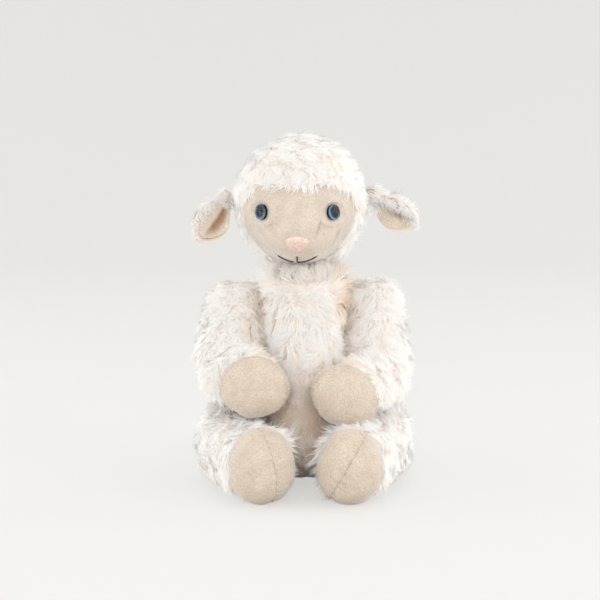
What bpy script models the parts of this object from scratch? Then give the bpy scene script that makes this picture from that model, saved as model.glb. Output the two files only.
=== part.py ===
"""A plush sheep that sits, made as the sewn toy is: covers, stuffing, seams and safety eyes.

Metres, +Z up. The toy faces -Y, its own left is +X. The origin is the middle of its flat seat.
Each form is a list of rings of points. A cover is an outer and an inner list of the same rings,
joined at the opening, and its stuffing is the same list again, drawn in a little further.
"""

import math

import bmesh
import bpy
import numpy as np
from mathutils import Matrix, Vector

# Cloth, thread and clearances
GAP = 0.0003
STUFFING_GAP = 0.0008
SETTLE = 0.0005
WELD = 0.000001
FUR = 0.003
VELOUR = 0.0025
PILE = 0.003
SEAM_THREAD = 0.0011
SEAM_RADIUS = 0.008
THREAD_SIDES = 6
RING_SIDES = 16
SIDES = {"left": 1.0, "right": -1.0}

# Body
TORSO_HEIGHT = 0.134
TORSO_HALF_WIDTH = 0.0275
BELLY_REACH = 0.046
BACK_REACH = 0.050
SEAT_FLARE = 0.010
TORSO_SIDES = 24
ROUNDNESS_SHARE = 0.8
FLARE_POWER_SHARES = (3.0, 0.5)
BAG_TOP_SHARE = 0.19
TORSO_ROW_SHARE = (0.0, 0.04, 0.11, BAG_TOP_SHARE, 0.31, 0.44, 0.57, 0.69, 0.79, 0.87, 0.94, 1.0)
# height, half width, front, back, flare of the seat
TORSO_SHARES = (
    (0.00, 0.74, 0.66, 0.70, 0.5),
    (0.04, 0.92, 0.82, 0.86, 0.8),
    (0.12, 1.00, 0.94, 0.97, 1.0),
    (0.28, 1.00, 1.00, 1.00, 1.0),
    (0.45, 1.00, 0.98, 0.92, 0.35),
    (0.62, 1.00, 0.90, 0.80, 0.0),
    (0.80, 1.00, 0.80, 0.68, 0.0),
    (0.88, 0.96, 0.68, 0.56, 0.0),
    (0.95, 0.82, 0.50, 0.43, 0.0),
    (1.00, 0.44, 0.27, 0.25, 0.0),
)

# Head
NECK_GAP = 0.0009
NECK_RING_RADIUS = 0.014
NECK_THREAD = 0.0023
NOD_LIFT = 0.034
HEAD_OFFSET_X = -0.003
HEAD_OFFSET_Y = -0.002
HEAD_HALF_WIDTH = 0.0395
HEAD_HALF_DEPTH = 0.040
HEAD_RISE = 0.040
HEAD_DROP = 0.041
JAW_TAPER_SHARE = 0.04
MUZZLE = 0.013
MUZZLE_DROP = math.radians(25)
MUZZLE_SPREAD = math.radians(28)
FACE_TILT = math.radians(15)
FACE_TOP = math.radians(33)
FACE_SIDE = math.radians(69)
FACE_BOTTOM = math.radians(64)
FACE_ROWS = 5
HOOD_ROWS = 7
HEAD_SIDES = 24
SURFACE_STEPS = 40
CURVE_STEP_SHARE = 0.001

# Eyes, their sizes along the axis counted from the face
EYE_OFFSET_X = -0.0015
EYE_HALF_SPACING = 0.0217
EYE_DROP = 0.0041
EYE_SIDES = 14
LENS_RADIUS = 0.005
LENS_BASE = 0.0027
LENS_DOME = 0.0028
LENS_ROWS = 4
FLANGE_RADIUS = 0.0049
FLANGE = 0.001
PUPIL_RADIUS = 0.0033
PUPIL_TOP = 0.0024
IRIS_BASE = 0.0016
STEM_RADIUS = 0.0016
STEM_LENGTH = 0.007
WASHER_RADIUS = 0.006
WASHER = 0.0015
WASHER_SEAT = 0.0014
POCKET_RADIUS = 0.0065
POCKET_DEPTH = 0.008

# Nose and mouth
NOSE_OFFSET_X = -0.0016
NOSE_DROP = 0.023
NOSE_HALF_WIDTH = 0.009
NOSE_HALF_HEIGHT = 0.0045
NOSE_PAD = 0.0009
NOSE_TAPER_SHARE = 0.28
NOSE_SIDES = 20
NOSE_RING_SHARES = (0.0, 0.6, 1.0)
MOUTH_DROP = 0.0367
MOUTH_HALF_WIDTH = 0.012
MOUTH_LIFT = 0.0043
MOUTH_BREAK = 0.0023
MOUTH_THREAD = 0.0009
MOUTH_POINTS = 9
STROKE_SHARES = (1.0, 0.7, 0.35)

# Ears
EAR_ROOT = 0.006
EAR_LENGTH = 0.033
EAR_HALF_WIDTH = 0.012
EAR_CUP = 0.0045
EAR_FUR = 0.0035
EAR_LINING = 0.0015
EAR_BACK = 0.004
EAR_COLUMNS = 7
EAR_EDGE_SHARE = 0.55
# how far back along the root's half circle, and its half width there
EAR_ROOT_SHARES = (
    (-1.00, 0.14),
    (-0.80, 0.60),
    (-0.40, 0.91),
)
# how far along the leaf, and its half width there
EAR_LEAF_SHARES = (
    (0.00, 0.44),
    (0.18, 0.62),
    (0.36, 0.88),
    (0.55, 1.00),
    (0.76, 0.86),
    (0.91, 0.54),
    (1.00, 0.22),
)
EAR_HEIGHT = {"left": 0.002, "right": 0.0005}
EAR_DROOP = {"left": math.radians(36), "right": math.radians(50)}
EAR_YAW = {"left": math.radians(0), "right": math.radians(37)}
EAR_ROLL = {"left": math.radians(32), "right": math.radians(21)}

# Arms
SHOULDER_RADIUS = 0.0155
SHOULDER_DROP = 0.022
SHOULDER_FORWARD = 0.003
ARM_SIDES = 16
ARM_ROWS = 9
# forward and drop to the paw, way across to the paw, half width, half height
ARM_SHARES = (
    (0.00, 0.00, 0.00, 1.00, 1.00),
    (0.14, 0.36, 0.00, 1.08, 1.08),
    (0.29, 0.75, 0.00, 1.20, 1.16),
    (0.62, 0.96, 0.30, 1.15, 1.02),
    (0.84, 0.97, 0.62, 1.02, 0.95),
    (1.00, 0.97, 0.90, 0.88, 0.86),
)
PAW_HALF_WIDTH = 0.022
PAW_HALF_DEPTH = 0.014
PAW_HALF_HEIGHT = 0.0193
PAW_X = {"left": 0.025, "right": 0.031}
PAW_LIFT = {"left": -0.0055, "right": 0.0}
PAW_ROLL = {"left": math.radians(30), "right": math.radians(-6)}

# Legs
LEG_HALF_WIDTH = 0.0185
LEG_HALF_HEIGHT = 0.0245
LEG_LENGTH = 0.066
LEG_TOE_IN = 0.0195
HIP_FORWARD = 0.008
LEG_SIDES = 18
LEG_ROWS = 7
# forward, inward, half width, half height
LEG_SHARES = (
    (0.00, 0.00, 1.00, 1.00),
    (0.33, 0.00, 1.00, 0.98),
    (0.62, 0.40, 1.10, 0.89),
    (1.00, 0.90, 1.06, 0.86),
    (1.15, 1.05, 0.88, 0.78),
)
FOOT_HALF_WIDTH = 0.0205
FOOT_HALF_LENGTH = 0.0195
FOOT_HALF_HEIGHT = 0.024
FOOT_AHEAD = 0.010
FOOT_IN = {"left": 0.002, "right": 0.004}
FOOT_TURN = {"left": math.radians(14), "right": math.radians(-2)}
BALL_ROWS = 9
BALL_SIDES = 16
DOME_ROWS = 3

# Tail
TAIL_RADIUS = 0.0075
TAIL_LENGTH = 0.019
TAIL_TILT = math.radians(35)
TAIL_HEIGHT = 0.036
TAIL_SIDES = 12
TAIL_ROWS = 6
TAIL_SHARES = (
    (0.00, 1.00),
    (0.35, 1.10),
    (0.70, 0.92),
    (0.90, 0.55),
    (1.00, 0.00),
)

# Finishes: colour and roughness
FUR_FINISH = ((0.93, 0.89, 0.83), 0.95)
VELOUR_FINISH = ((0.78, 0.68, 0.57), 0.9)
FIBRE_FINISH = ((0.95, 0.95, 0.94), 1.0)
BAG_FINISH = ((0.85, 0.83, 0.78), 0.9)
SEAM_FINISH = ((0.88, 0.84, 0.77), 0.8)
NOSE_FINISH = ((0.86, 0.66, 0.56), 0.6)
MOUTH_FINISH = ((0.16, 0.13, 0.12), 0.7)
LENS_FINISH = ((0.92, 0.95, 0.97), 0.05)
IRIS_FINISH = ((0.16, 0.30, 0.42), 0.3)
BLACK_FINISH = ((0.02, 0.02, 0.02), 0.3)
WASHER_FINISH = ((0.86, 0.86, 0.84), 0.5)

# Places worked out from the sizes
SIDE_SLOT = GAP + SEAM_THREAD + GAP
LIMB_PLANE = TORSO_HALF_WIDTH + SIDE_SLOT
HEAD_CENTRE = np.array((HEAD_OFFSET_X, HEAD_OFFSET_Y, TORSO_HEIGHT + NECK_GAP + PILE + HEAD_DROP))
SHOULDER_HEIGHT = TORSO_HEIGHT - SHOULDER_DROP
HIP_HEIGHT = LEG_HALF_HEIGHT - SETTLE
LEG_TOP = HIP_HEIGHT + LEG_HALF_HEIGHT
PAW_Y = -(BELLY_REACH + GAP + PAW_HALF_DEPTH)


def side_place(side, x, y, z):
    """A point on the toy's left or right."""
    return np.array((SIDES[side] * x, y, z))


def unit(vector):
    """The vector at length one."""
    return vector / np.linalg.norm(vector, axis=-1, keepdims=True)


def eased(table, column, at):
    """A smooth curve through the table's values that never goes past them."""
    values = np.array(table)
    place, value = values[:, 0], values[:, column]
    step = np.diff(place)
    slope = np.diff(value) / step
    product = slope[:-1] * slope[1:]
    total = np.where(product > 0, slope[:-1] + slope[1:], 1.0)
    middle = np.where(product > 0, 2 * product / total, 0.0)
    bend = np.concatenate([slope[:1], middle, slope[-1:]])
    index = np.clip(np.searchsorted(place, at, side="right") - 1, 0, len(step) - 1)
    part = (at - place[index]) / step[index]
    start = value[index] * (1 + 2 * part) * (1 - part) ** 2
    end = value[index + 1] * part**2 * (3 - 2 * part)
    turn_in = bend[index] * part * (1 - part) ** 2
    turn_out = bend[index + 1] * part**2 * (part - 1)
    return start + end + step[index] * (turn_in + turn_out)


def pivot(name, place, parent=None):
    """An empty on a joint's axis, which carries the pieces that move with it."""
    mark = bpy.data.objects.new(name, None)
    bpy.context.scene.collection.objects.link(mark)
    mark.parent = parent
    start = parent.matrix_world.translation if parent else Vector()
    mark.location = Vector(place) - start
    bpy.context.view_layer.update()
    return mark


def dress(thing, finish, carrier):
    """Links a piece, hangs it on its pivot and gives it its own material."""
    colour, roughness = finish
    surface = bpy.data.materials.new(thing.name)
    surface.use_nodes = True
    shader = surface.node_tree.nodes["Principled BSDF"]
    shader.inputs["Base Color"].default_value = (*colour, 1.0)
    shader.inputs["Roughness"].default_value = roughness
    shader.inputs["Metallic"].default_value = 0.0
    thing.data.materials.append(surface)
    bpy.context.scene.collection.objects.link(thing)
    thing.parent = carrier
    return thing


def closed_piece(name, points, faces, finish, carrier):
    """One closed body from points in the toy's frame."""
    start = np.array(carrier.matrix_world.translation)
    mesh = bpy.data.meshes.new(name)
    mesh.from_pydata((points.reshape(-1, 3) - start).tolist(), [], faces)
    work = bmesh.new()
    work.from_mesh(mesh)
    bmesh.ops.remove_doubles(work, verts=work.verts, dist=WELD)
    bmesh.ops.recalc_face_normals(work, faces=work.faces)
    work.to_mesh(mesh)
    work.free()
    mesh.shade_smooth()
    return dress(bpy.data.objects.new(name, mesh), finish, carrier)


def grid_faces(rows, columns, around, first=0):
    """Quads between neighbouring rows of a grid, closed round its columns or not."""
    last = columns if around else columns - 1
    faces = []
    for row in range(rows - 1):
        for column in range(last):
            here = first + row * columns
            after = (column + 1) % columns
            faces.append((here + column, here + after, here + columns + after, here + columns + column))
    return faces


def loft(name, rings, finish, carrier, ring=False):
    """A body through rings of equally many points: a ring-shaped one, or one with closed ends."""
    points = np.stack(rings)
    rows, columns = points.shape[:2]
    faces = grid_faces(rows, columns, True)
    if ring:
        last = (rows - 1) * columns
        for column in range(columns):
            after = (column + 1) % columns
            faces.append((last + column, last + after, after, column))
    else:
        for row in (0, rows - 1):
            if np.ptp(points[row], axis=0).max() > WELD:
                faces.append(tuple(range(row * columns, (row + 1) * columns)))
    return closed_piece(name, points, faces, finish, carrier)


def patch(name, outer, inner, finish, carrier):
    """A sheet with thickness: an outer and an inner grid, joined all round their edges."""
    rows, columns = outer.shape[:2]
    count = rows * columns
    faces = grid_faces(rows, columns, False) + grid_faces(rows, columns, False, count)
    border = [(0, c) for c in range(columns)]
    border += [(r, columns - 1) for r in range(1, rows)]
    border += [(rows - 1, c) for c in range(columns - 2, -1, -1)]
    border += [(r, 0) for r in range(rows - 2, 0, -1)]
    edge = [r * columns + c for r, c in border]
    for here, after in zip(edge, edge[1:] + edge[:1]):
        faces.append((here, after, count + after, count + here))
    return closed_piece(name, np.stack([outer, inner]), faces, finish, carrier)


def hide(thing):
    """Marks a shape that only cuts or joins."""
    thing.hide_render = True
    thing.display_type = "WIRE"
    return thing


def combine(thing, tool, operation):
    """Cuts the tool's shape out of a piece, or joins it on."""
    step = thing.modifiers.new(tool.name, "BOOLEAN")
    step.operation = operation
    step.solver = "EXACT"
    step.object = tool


def turned(name, profile, base, axis, sides, finish, carrier, ring=False):
    """A body turned about an axis, from pairs of radius and height above the base."""
    side = np.array((1.0, 0.0, 0.0)) if abs(axis[0]) < abs(axis[2]) else np.array((0.0, 0.0, 1.0))
    across = unit(np.cross(axis, side))
    up = np.cross(across, axis)
    angle = np.linspace(0, 2 * math.pi, sides, endpoint=False)[:, None]
    spoke = np.cos(angle) * across + np.sin(angle) * up
    rings = [base + radius * spoke + height * axis for radius, height in profile]
    return loft(name, rings, finish, carrier, ring)


def thread_ring(name, centre, axis, radius, thread, finish, carrier):
    """A ring of seam thread round an axis."""
    angle = np.linspace(0, 2 * math.pi, THREAD_SIDES, endpoint=False)
    profile = [(radius + thread / 2 * math.cos(a), thread / 2 * math.sin(a)) for a in angle]
    return turned(name, profile, centre, axis, RING_SIDES, finish, carrier, ring=True)


# The body


def torso_ring(share, inset, height=None):
    """One level ring of the body: half width at the sides, its own reach in front and behind."""
    width, front, back, flare = (eased(TORSO_SHARES, column, share) for column in (1, 2, 3, 4))
    angle = np.linspace(0, 2 * math.pi, TORSO_SIDES, endpoint=False)
    across, along = np.cos(angle), np.sin(angle)
    reach = np.where(along < 0, BELLY_REACH * front, BACK_REACH * back) - inset
    behind, sideways = FLARE_POWER_SHARES
    spread = np.clip(along, 0, 1) ** behind * np.abs(across) ** sideways
    wider = SEAT_FLARE * flare * spread * np.sign(across)
    half = TORSO_HALF_WIDTH * width - inset
    level = np.clip(TORSO_HEIGHT * share, inset, TORSO_HEIGHT) if height is None else height
    x = half * np.sign(across) * np.abs(across) ** ROUNDNESS_SHARE + wider
    return np.stack([x, reach * along, np.full_like(angle, level)], axis=-1)


def make_torso(body):
    """The furry body bag with its bag of beads and its fibre filling."""
    outer = [torso_ring(share, 0.0) for share in TORSO_ROW_SHARE]
    inner = [torso_ring(share, FUR) for share in TORSO_ROW_SHARE]
    loft("torso_cover", outer + inner[::-1], FUR_FINISH, body)
    inset = FUR + STUFFING_GAP
    bag_rows = [share for share in TORSO_ROW_SHARE if share <= BAG_TOP_SHARE]
    loft("seat_bean_bag", [torso_ring(share, inset) for share in bag_rows], BAG_FINISH, body)
    filled = [torso_ring(share, inset) for share in TORSO_ROW_SHARE if share > BAG_TOP_SHARE]
    bottom = torso_ring(BAG_TOP_SHARE, inset, BAG_TOP_SHARE * TORSO_HEIGHT + STUFFING_GAP)
    loft("torso_stuffing", [bottom] + filled, FIBRE_FINISH, body)


# The head


def head_reach(way):
    """Distance from the head's centre to its surface: an egg, narrower at the jaw, with a muzzle."""
    down = np.clip(-way[..., 2], 0, 1)
    wide = HEAD_HALF_WIDTH * (1 - JAW_TAPER_SHARE * down**2)
    tall = np.where(way[..., 2] > 0, HEAD_RISE, HEAD_DROP)
    egg = (way[..., 0] / wide) ** 2 + (way[..., 1] / HEAD_HALF_DEPTH) ** 2 + (way[..., 2] / tall) ** 2
    snout = np.array((0.0, -math.cos(MUZZLE_DROP), -math.sin(MUZZLE_DROP)))
    off = np.arccos(np.clip(way @ snout, -1, 1))
    return egg**-0.5 + MUZZLE * np.exp(-((off / MUZZLE_SPREAD) ** 2))


def head_way(off, around):
    """Direction at an angle off the middle of the face, and an angle round it."""
    front = np.array((0.0, -math.cos(FACE_TILT), -math.sin(FACE_TILT)))
    up = np.array((0.0, -math.sin(FACE_TILT), math.cos(FACE_TILT)))
    across = np.array((1.0, 0.0, 0.0))
    spoke = np.cos(around)[:, None] * across + np.sin(around)[:, None] * up
    return np.cos(off)[:, None] * front + np.sin(off)[:, None] * spoke


def face_edge(around):
    """Angle from the middle of the face to its seam: wide at the cheeks, low on the forehead."""
    up, down = np.clip(np.sin(around), 0, 1), np.clip(-np.sin(around), 0, 1)
    return FACE_SIDE - (FACE_SIDE - FACE_TOP) * up**1.5 - (FACE_SIDE - FACE_BOTTOM) * down**2


def head_ring(step, inset, spread=0.0):
    """A ring of the head: steps up to the face's rows lie on the face, later ones behind it."""
    around = np.linspace(0, 2 * math.pi, HEAD_SIDES, endpoint=False)
    edge = face_edge(around)
    if step <= FACE_ROWS:
        off = edge * step / FACE_ROWS - spread
    else:
        off = edge + (math.pi - edge) * (step - FACE_ROWS) / HOOD_ROWS + spread
    way = head_way(off, around)
    return HEAD_CENTRE + way * (head_reach(way) - inset)[:, None]


def face_point(x, z):
    """The point of the face's surface at this place across and up."""
    side, rise = np.broadcast_arrays(x - HEAD_CENTRE[0], z - HEAD_CENTRE[2])
    near, far = np.zeros(side.shape), np.full(side.shape, 2 * HEAD_HALF_DEPTH)
    for _ in range(SURFACE_STEPS):
        middle = (near + far) / 2
        line = np.stack([side, -middle, rise], axis=-1)
        length = np.linalg.norm(line, axis=-1)
        outside = length > head_reach(line / length[..., None])
        near, far = np.where(outside, near, middle), np.where(outside, middle, far)
    return HEAD_CENTRE + np.stack([side, -near, rise], axis=-1)


def face_normal(x, z):
    """The way the face's surface looks at this place."""
    step = HEAD_HALF_WIDTH * CURVE_STEP_SHARE
    across = face_point(x + step, z) - face_point(x - step, z)
    up = face_point(x, z + step) - face_point(x, z - step)
    return unit(np.cross(across, up))


def make_head(head):
    """The furred hood, the short-pile face and the fibre filling."""
    spread = GAP / HEAD_HALF_WIDTH
    face_steps = range(FACE_ROWS + 1)
    hood_steps = range(FACE_ROWS, FACE_ROWS + HOOD_ROWS + 1)

    def face_rings(inset):
        return [head_ring(s, inset, spread if s == FACE_ROWS else 0.0) for s in face_steps]

    def hood_ring(step, inset):
        if step == FACE_ROWS:
            around = np.linspace(0, 2 * math.pi, HEAD_SIDES, endpoint=False)
            way = head_way(face_edge(around) + spread, around)
            return HEAD_CENTRE + way * (head_reach(way) - inset)[:, None]
        return head_ring(step, inset)

    face = loft("face_panel", face_rings(0.0) + face_rings(VELOUR)[::-1], VELOUR_FINISH, head)
    outer = [hood_ring(step, -PILE) for step in hood_steps]
    inner = [hood_ring(step, VELOUR) for step in hood_steps]
    loft("head_hood", outer[::-1] + inner, FUR_FINISH, head)
    inset = VELOUR + STUFFING_GAP
    filled = [head_ring(s, inset) for s in range(FACE_ROWS + HOOD_ROWS + 1)]
    stuffing = loft("head_stuffing", filled, FIBRE_FINISH, head)
    return face, stuffing


def make_eye(side, face, stuffing, head):
    """A safety eye: clear dome, blue ring, black back with its stem, and the washer that locks it."""
    x = HEAD_CENTRE[0] + EYE_OFFSET_X + SIDES[side] * EYE_HALF_SPACING
    z = HEAD_CENTRE[2] - EYE_DROP
    base, axis = face_point(x, z), face_normal(x, z)
    flange_top = GAP + FLANGE
    back = (
        (0.0, PUPIL_TOP),
        (PUPIL_RADIUS, PUPIL_TOP),
        (PUPIL_RADIUS, flange_top),
        (FLANGE_RADIUS, flange_top),
        (FLANGE_RADIUS, GAP),
        (STEM_RADIUS, GAP),
        (STEM_RADIUS, -STEM_LENGTH),
        (0.0, -STEM_LENGTH),
    )
    turned("eye_back_" + side, back, base, axis, EYE_SIDES, BLACK_FINISH, head)
    inside = PUPIL_RADIUS + GAP
    iris = (
        (inside, IRIS_BASE),
        (FLANGE_RADIUS, IRIS_BASE),
        (FLANGE_RADIUS, PUPIL_TOP),
        (inside, PUPIL_TOP),
    )
    turned("iris_ring_" + side, iris, base, axis, EYE_SIDES, IRIS_FINISH, head, ring=True)
    angle = np.linspace(0, math.pi / 2, LENS_ROWS)
    dome = [(LENS_RADIUS * math.sin(a), LENS_BASE + LENS_DOME * math.cos(a)) for a in angle]
    turned("eye_lens_" + side, dome + [(0.0, LENS_BASE)], base, axis, EYE_SIDES, LENS_FINISH, head)
    top = -(VELOUR + WASHER_SEAT)
    hole = STEM_RADIUS + GAP
    washer = ((hole, top), (WASHER_RADIUS, top), (WASHER_RADIUS, top - WASHER), (hole, top - WASHER))
    turned("eye_washer_" + side, washer, base, axis, EYE_SIDES, WASHER_FINISH, head, ring=True)
    drill = ((0.0, STEM_LENGTH), (hole, STEM_LENGTH), (hole, -STEM_LENGTH), (0.0, -STEM_LENGTH))
    bore = turned("stem_hole_" + side, drill, base, axis, EYE_SIDES, BLACK_FINISH, head)
    combine(face, hide(bore), "DIFFERENCE")
    room = (
        (0.0, POCKET_DEPTH),
        (POCKET_RADIUS, POCKET_DEPTH),
        (POCKET_RADIUS, -POCKET_DEPTH),
        (0.0, -POCKET_DEPTH),
    )
    pocket = turned("washer_pocket_" + side, room, base, axis, EYE_SIDES, BLACK_FINISH, head)
    combine(stuffing, hide(pocket), "DIFFERENCE")


def make_nose(head):
    """The satin-stitched nose: a rounded triangle, point down, that follows the face."""
    middle_x = HEAD_CENTRE[0] + NOSE_OFFSET_X
    middle_z = HEAD_CENTRE[2] - NOSE_DROP
    angle = np.linspace(0, 2 * math.pi, NOSE_SIDES, endpoint=False)

    def ring(share, height):
        wide = NOSE_HALF_WIDTH * (1 - NOSE_TAPER_SHARE * (1 - np.sin(angle)))
        x = middle_x + share * wide * np.cos(angle)
        z = middle_z + share * NOSE_HALF_HEIGHT * np.sin(angle)
        return face_point(x, z) + height * face_normal(x, z)

    top = [ring(share, GAP + NOSE_PAD * (1 - share**4 / 2)) for share in NOSE_RING_SHARES]
    bottom = [ring(share, GAP) for share in NOSE_RING_SHARES[::-1]]
    loft("nose_embroidery", top + bottom, NOSE_FINISH, head)


def mouth_thread(name, x, z, head):
    """One run of thread along the face."""
    radius = MOUTH_THREAD / 2
    route = face_point(x, z) + (GAP + radius) * face_normal(x, z)
    line = bpy.data.curves.new(name, "CURVE")
    line.dimensions = "3D"
    line.bevel_depth = radius
    line.bevel_resolution = 1
    line.use_fill_caps = True
    spline = line.splines.new("POLY")
    spline.points.add(len(route) - 1)
    start = np.array(head.matrix_world.translation)
    for point, place in zip(spline.points, route - start):
        point.co = (*place, 1.0)
    return dress(bpy.data.objects.new(name, line), MOUTH_FINISH, head)


def make_mouth(head):
    """A smile in two runs: the left one also carries the short stroke up to the nose."""
    middle_x = HEAD_CENTRE[0] + NOSE_OFFSET_X
    low = HEAD_CENTRE[2] - MOUTH_DROP
    left = np.linspace(0, MOUTH_HALF_WIDTH, MOUTH_POINTS)
    right = -np.linspace(MOUTH_BREAK, MOUTH_HALF_WIDTH, MOUTH_POINTS)
    stroke = MOUTH_LIFT * np.array(STROKE_SHARES)
    left_x = np.concatenate([np.zeros(len(stroke)), left])
    left_z = np.concatenate([stroke, MOUTH_LIFT * (left / MOUTH_HALF_WIDTH) ** 2])
    mouth_thread("mouth_stitch_left", middle_x + left_x, low + left_z, head)
    right_z = MOUTH_LIFT * (right / MOUTH_HALF_WIDTH) ** 2
    mouth_thread("mouth_stitch_right", middle_x + right, low + right_z, head)


def ear_root(side):
    """Where an ear is sewn on, one root radius outside the head's side."""
    way = unit(side_place(side, HEAD_HALF_WIDTH, EAR_BACK, EAR_HEIGHT[side]))
    return HEAD_CENTRE + way * (head_reach(way) + PILE + GAP + EAR_ROOT)


def make_ear(side, ear):
    """A cupped leaf of two sheets: fur behind, short pile in front."""
    root = ear_root(side)
    droop, yaw, roll = EAR_DROOP[side], EAR_YAW[side], EAR_ROLL[side]
    level = math.cos(droop)
    along = side_place(side, level * math.cos(yaw), -level * math.sin(yaw), -math.sin(droop))
    ahead = np.array((0.0, -1.0, 0.0))
    flat = unit(ahead - (ahead @ along) * along)
    down = -SIDES[side] * np.cross(flat, along)
    facing = math.cos(roll) * flat + math.sin(roll) * down
    across = np.cross(along, facing)
    root_rows = np.array(EAR_ROOT_SHARES) * EAR_ROOT
    leaf_rows = np.array(EAR_LEAF_SHARES) * np.array((EAR_LENGTH, EAR_HALF_WIDTH))
    length, half = np.concatenate([root_rows, leaf_rows]).T[:, :, None, None]
    place = np.linspace(-1, 1, EAR_COLUMNS)[None, :, None]
    cup = EAR_CUP * half / EAR_HALF_WIDTH
    middle = root + length * along + half * place * across + cup * place**2 * facing
    slim = 1 - EAR_EDGE_SHARE * place**2
    fur_back = middle - EAR_FUR * slim * facing
    patch("ear_outer_" + side, fur_back, middle, FUR_FINISH, ear)
    near = middle + GAP * facing * np.ones_like(slim)
    patch("ear_lining_" + side, near + EAR_LINING * slim * facing, near, VELOUR_FINISH, ear)


# Limbs


def limb_rings(stations, sides, inset, rows, floor=False):
    """Rings along a limb: a round end about the first station, then a smooth way through the rest.

    A station is its centre, half width and half height. Rings stand across the way they follow.
    """
    table = np.array([np.concatenate([[i], *map(np.atleast_1d, s)]) for i, s in enumerate(stations)])
    at = np.linspace(0, len(stations) - 1, rows)
    centre = np.stack([eased(table, column, at) for column in (1, 2, 3)], axis=-1)
    size = np.stack([eased(table, column, at) for column in (4, 5)], axis=-1) - inset
    ahead = unit(np.gradient(centre, axis=0))
    ahead[0] = unit(centre[1] - centre[0])
    across = np.array((1.0, 0.0, 0.0)) - ahead[:, :1] * ahead
    across = unit(across)
    over = np.cross(ahead, across)
    angle = np.linspace(0, 2 * math.pi, sides, endpoint=False)[:, None]
    rings = []
    for turn in np.linspace(math.pi / 2, 0, DOME_ROWS + 1)[:-1]:
        back = centre[0] - ahead[0] * size[0, 0] * math.sin(turn)
        spoke = size[0, 0] * np.cos(angle) * across[0] + size[0, 1] * np.sin(angle) * over[0]
        rings.append(back + math.cos(turn) * spoke)
    for i in range(rows):
        spoke = size[i, 0] * np.cos(angle) * across[i] + size[i, 1] * np.sin(angle) * over[i]
        rings.append(centre[i] + spoke)
    if floor:
        for ring in rings:
            ring[:, 2] = np.maximum(ring[:, 2], inset)
    return rings


def ball_grid(centre, half_sizes, turn, inset, facing=None, floor=False):
    """Rows of an egg from pole to pole: all of it, or the half that faces an angle round it."""
    rise = np.linspace(math.pi / 2, -math.pi / 2, BALL_ROWS)[:, None]
    if facing is None:
        around = np.linspace(0, 2 * math.pi, BALL_SIDES, endpoint=False)[None, :]
    else:
        around = facing + np.linspace(-math.pi / 2, math.pi / 2, BALL_SIDES // 2 + 1)[None, :]
    level = np.sin(rise) * np.ones_like(around)
    shape = np.stack([np.cos(rise) * np.cos(around), np.cos(rise) * np.sin(around), level], axis=-1)
    grid = shape * (np.array(half_sizes) - inset)
    if facing is not None:
        grid = grid + GAP / 2 * np.array((math.cos(facing), math.sin(facing), 0.0))
    grid = centre + grid @ np.array(turn).T
    if floor:
        grid[..., 2] = np.maximum(grid[..., 2], inset)
    return grid


def end_pad(names, facings, ball, carrier, floor):
    """The two sewn halves of a paw or foot."""
    centre, half_sizes, turn = ball
    halves = []
    for name, facing in zip(names, facings):
        outer = ball_grid(centre, half_sizes, turn, 0.0, facing, floor)
        inner = ball_grid(centre, half_sizes, turn, VELOUR, facing, floor)
        halves.append(patch(name, outer, inner, VELOUR_FINISH, carrier))
    return halves


def make_limb(kind, side, stations, sides, rows, ball, pad_halves, carrier, floor):
    """A furred tube that ends at its sewn pad, with one filling that runs into the pad."""
    centre, half_sizes, turn = ball

    def rings(drawn_in):
        return limb_rings(stations, sides, drawn_in, rows, floor)

    cover_name = {"arm": "arm_sleeve_", "leg": "leg_cover_"}[kind] + side
    cover = loft(cover_name, rings(0.0) + rings(FUR)[::-1], FUR_FINISH, carrier)
    grown = ball_grid(centre, half_sizes, turn, -2 * GAP)
    room = hide(loft(kind + "_end_room_" + side, list(grown), FUR_FINISH, carrier))
    combine(cover, room, "DIFFERENCE")
    bore = hide(loft(kind + "_bore_" + side, rings(FUR), FUR_FINISH, carrier))
    for half in pad_halves:
        combine(half, bore, "DIFFERENCE")
    filling = loft(kind + "_stuffing_" + side, rings(FUR + STUFFING_GAP), FIBRE_FINISH, carrier)
    end = ball_grid(centre, half_sizes, turn, VELOUR + STUFFING_GAP, floor=floor)
    end_filling = hide(loft(kind + "_end_filling_" + side, list(end), FIBRE_FINISH, carrier))
    combine(filling, end_filling, "UNION")


def shoulder(side):
    """Centre of the round top of an arm."""
    return side_place(side, LIMB_PLANE + SHOULDER_RADIUS, -SHOULDER_FORWARD, SHOULDER_HEIGHT)


def hip(side):
    """Centre of the round back end of a leg."""
    return side_place(side, LIMB_PLANE + LEG_HALF_WIDTH, -HIP_FORWARD, HIP_HEIGHT)


def make_arm(side, arm):
    """An arm that hangs from the shoulder and comes round in front of the belly."""
    start = shoulder(side)
    paw_z = LEG_TOP + PAW_LIFT[side] + PAW_HALF_HEIGHT
    paw = side_place(side, PAW_X[side], PAW_Y, paw_z)
    stations = []
    for forward, drop, over, wide, tall in ARM_SHARES:
        half_width, half_height = SHOULDER_RADIUS * wide, SHOULDER_RADIUS * tall
        x = (LIMB_PLANE + half_width) * (1 - over) + PAW_X[side] * over
        y = start[1] + (paw[1] - start[1]) * forward
        z = start[2] + (paw[2] - start[2]) * drop
        stations.append((side_place(side, x, y, z), half_width, half_height))
    sizes = (PAW_HALF_WIDTH, PAW_HALF_DEPTH, PAW_HALF_HEIGHT)
    ball = (paw, sizes, Matrix.Rotation(SIDES[side] * PAW_ROLL[side], 3, "Y"))
    names = ("paw_front_" + side, "paw_back_" + side)
    front, back = end_pad(names, (-math.pi / 2, math.pi / 2), ball, arm, False)
    make_limb("arm", side, stations, ARM_SIDES, ARM_ROWS, ball, (back,), arm, False)


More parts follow.
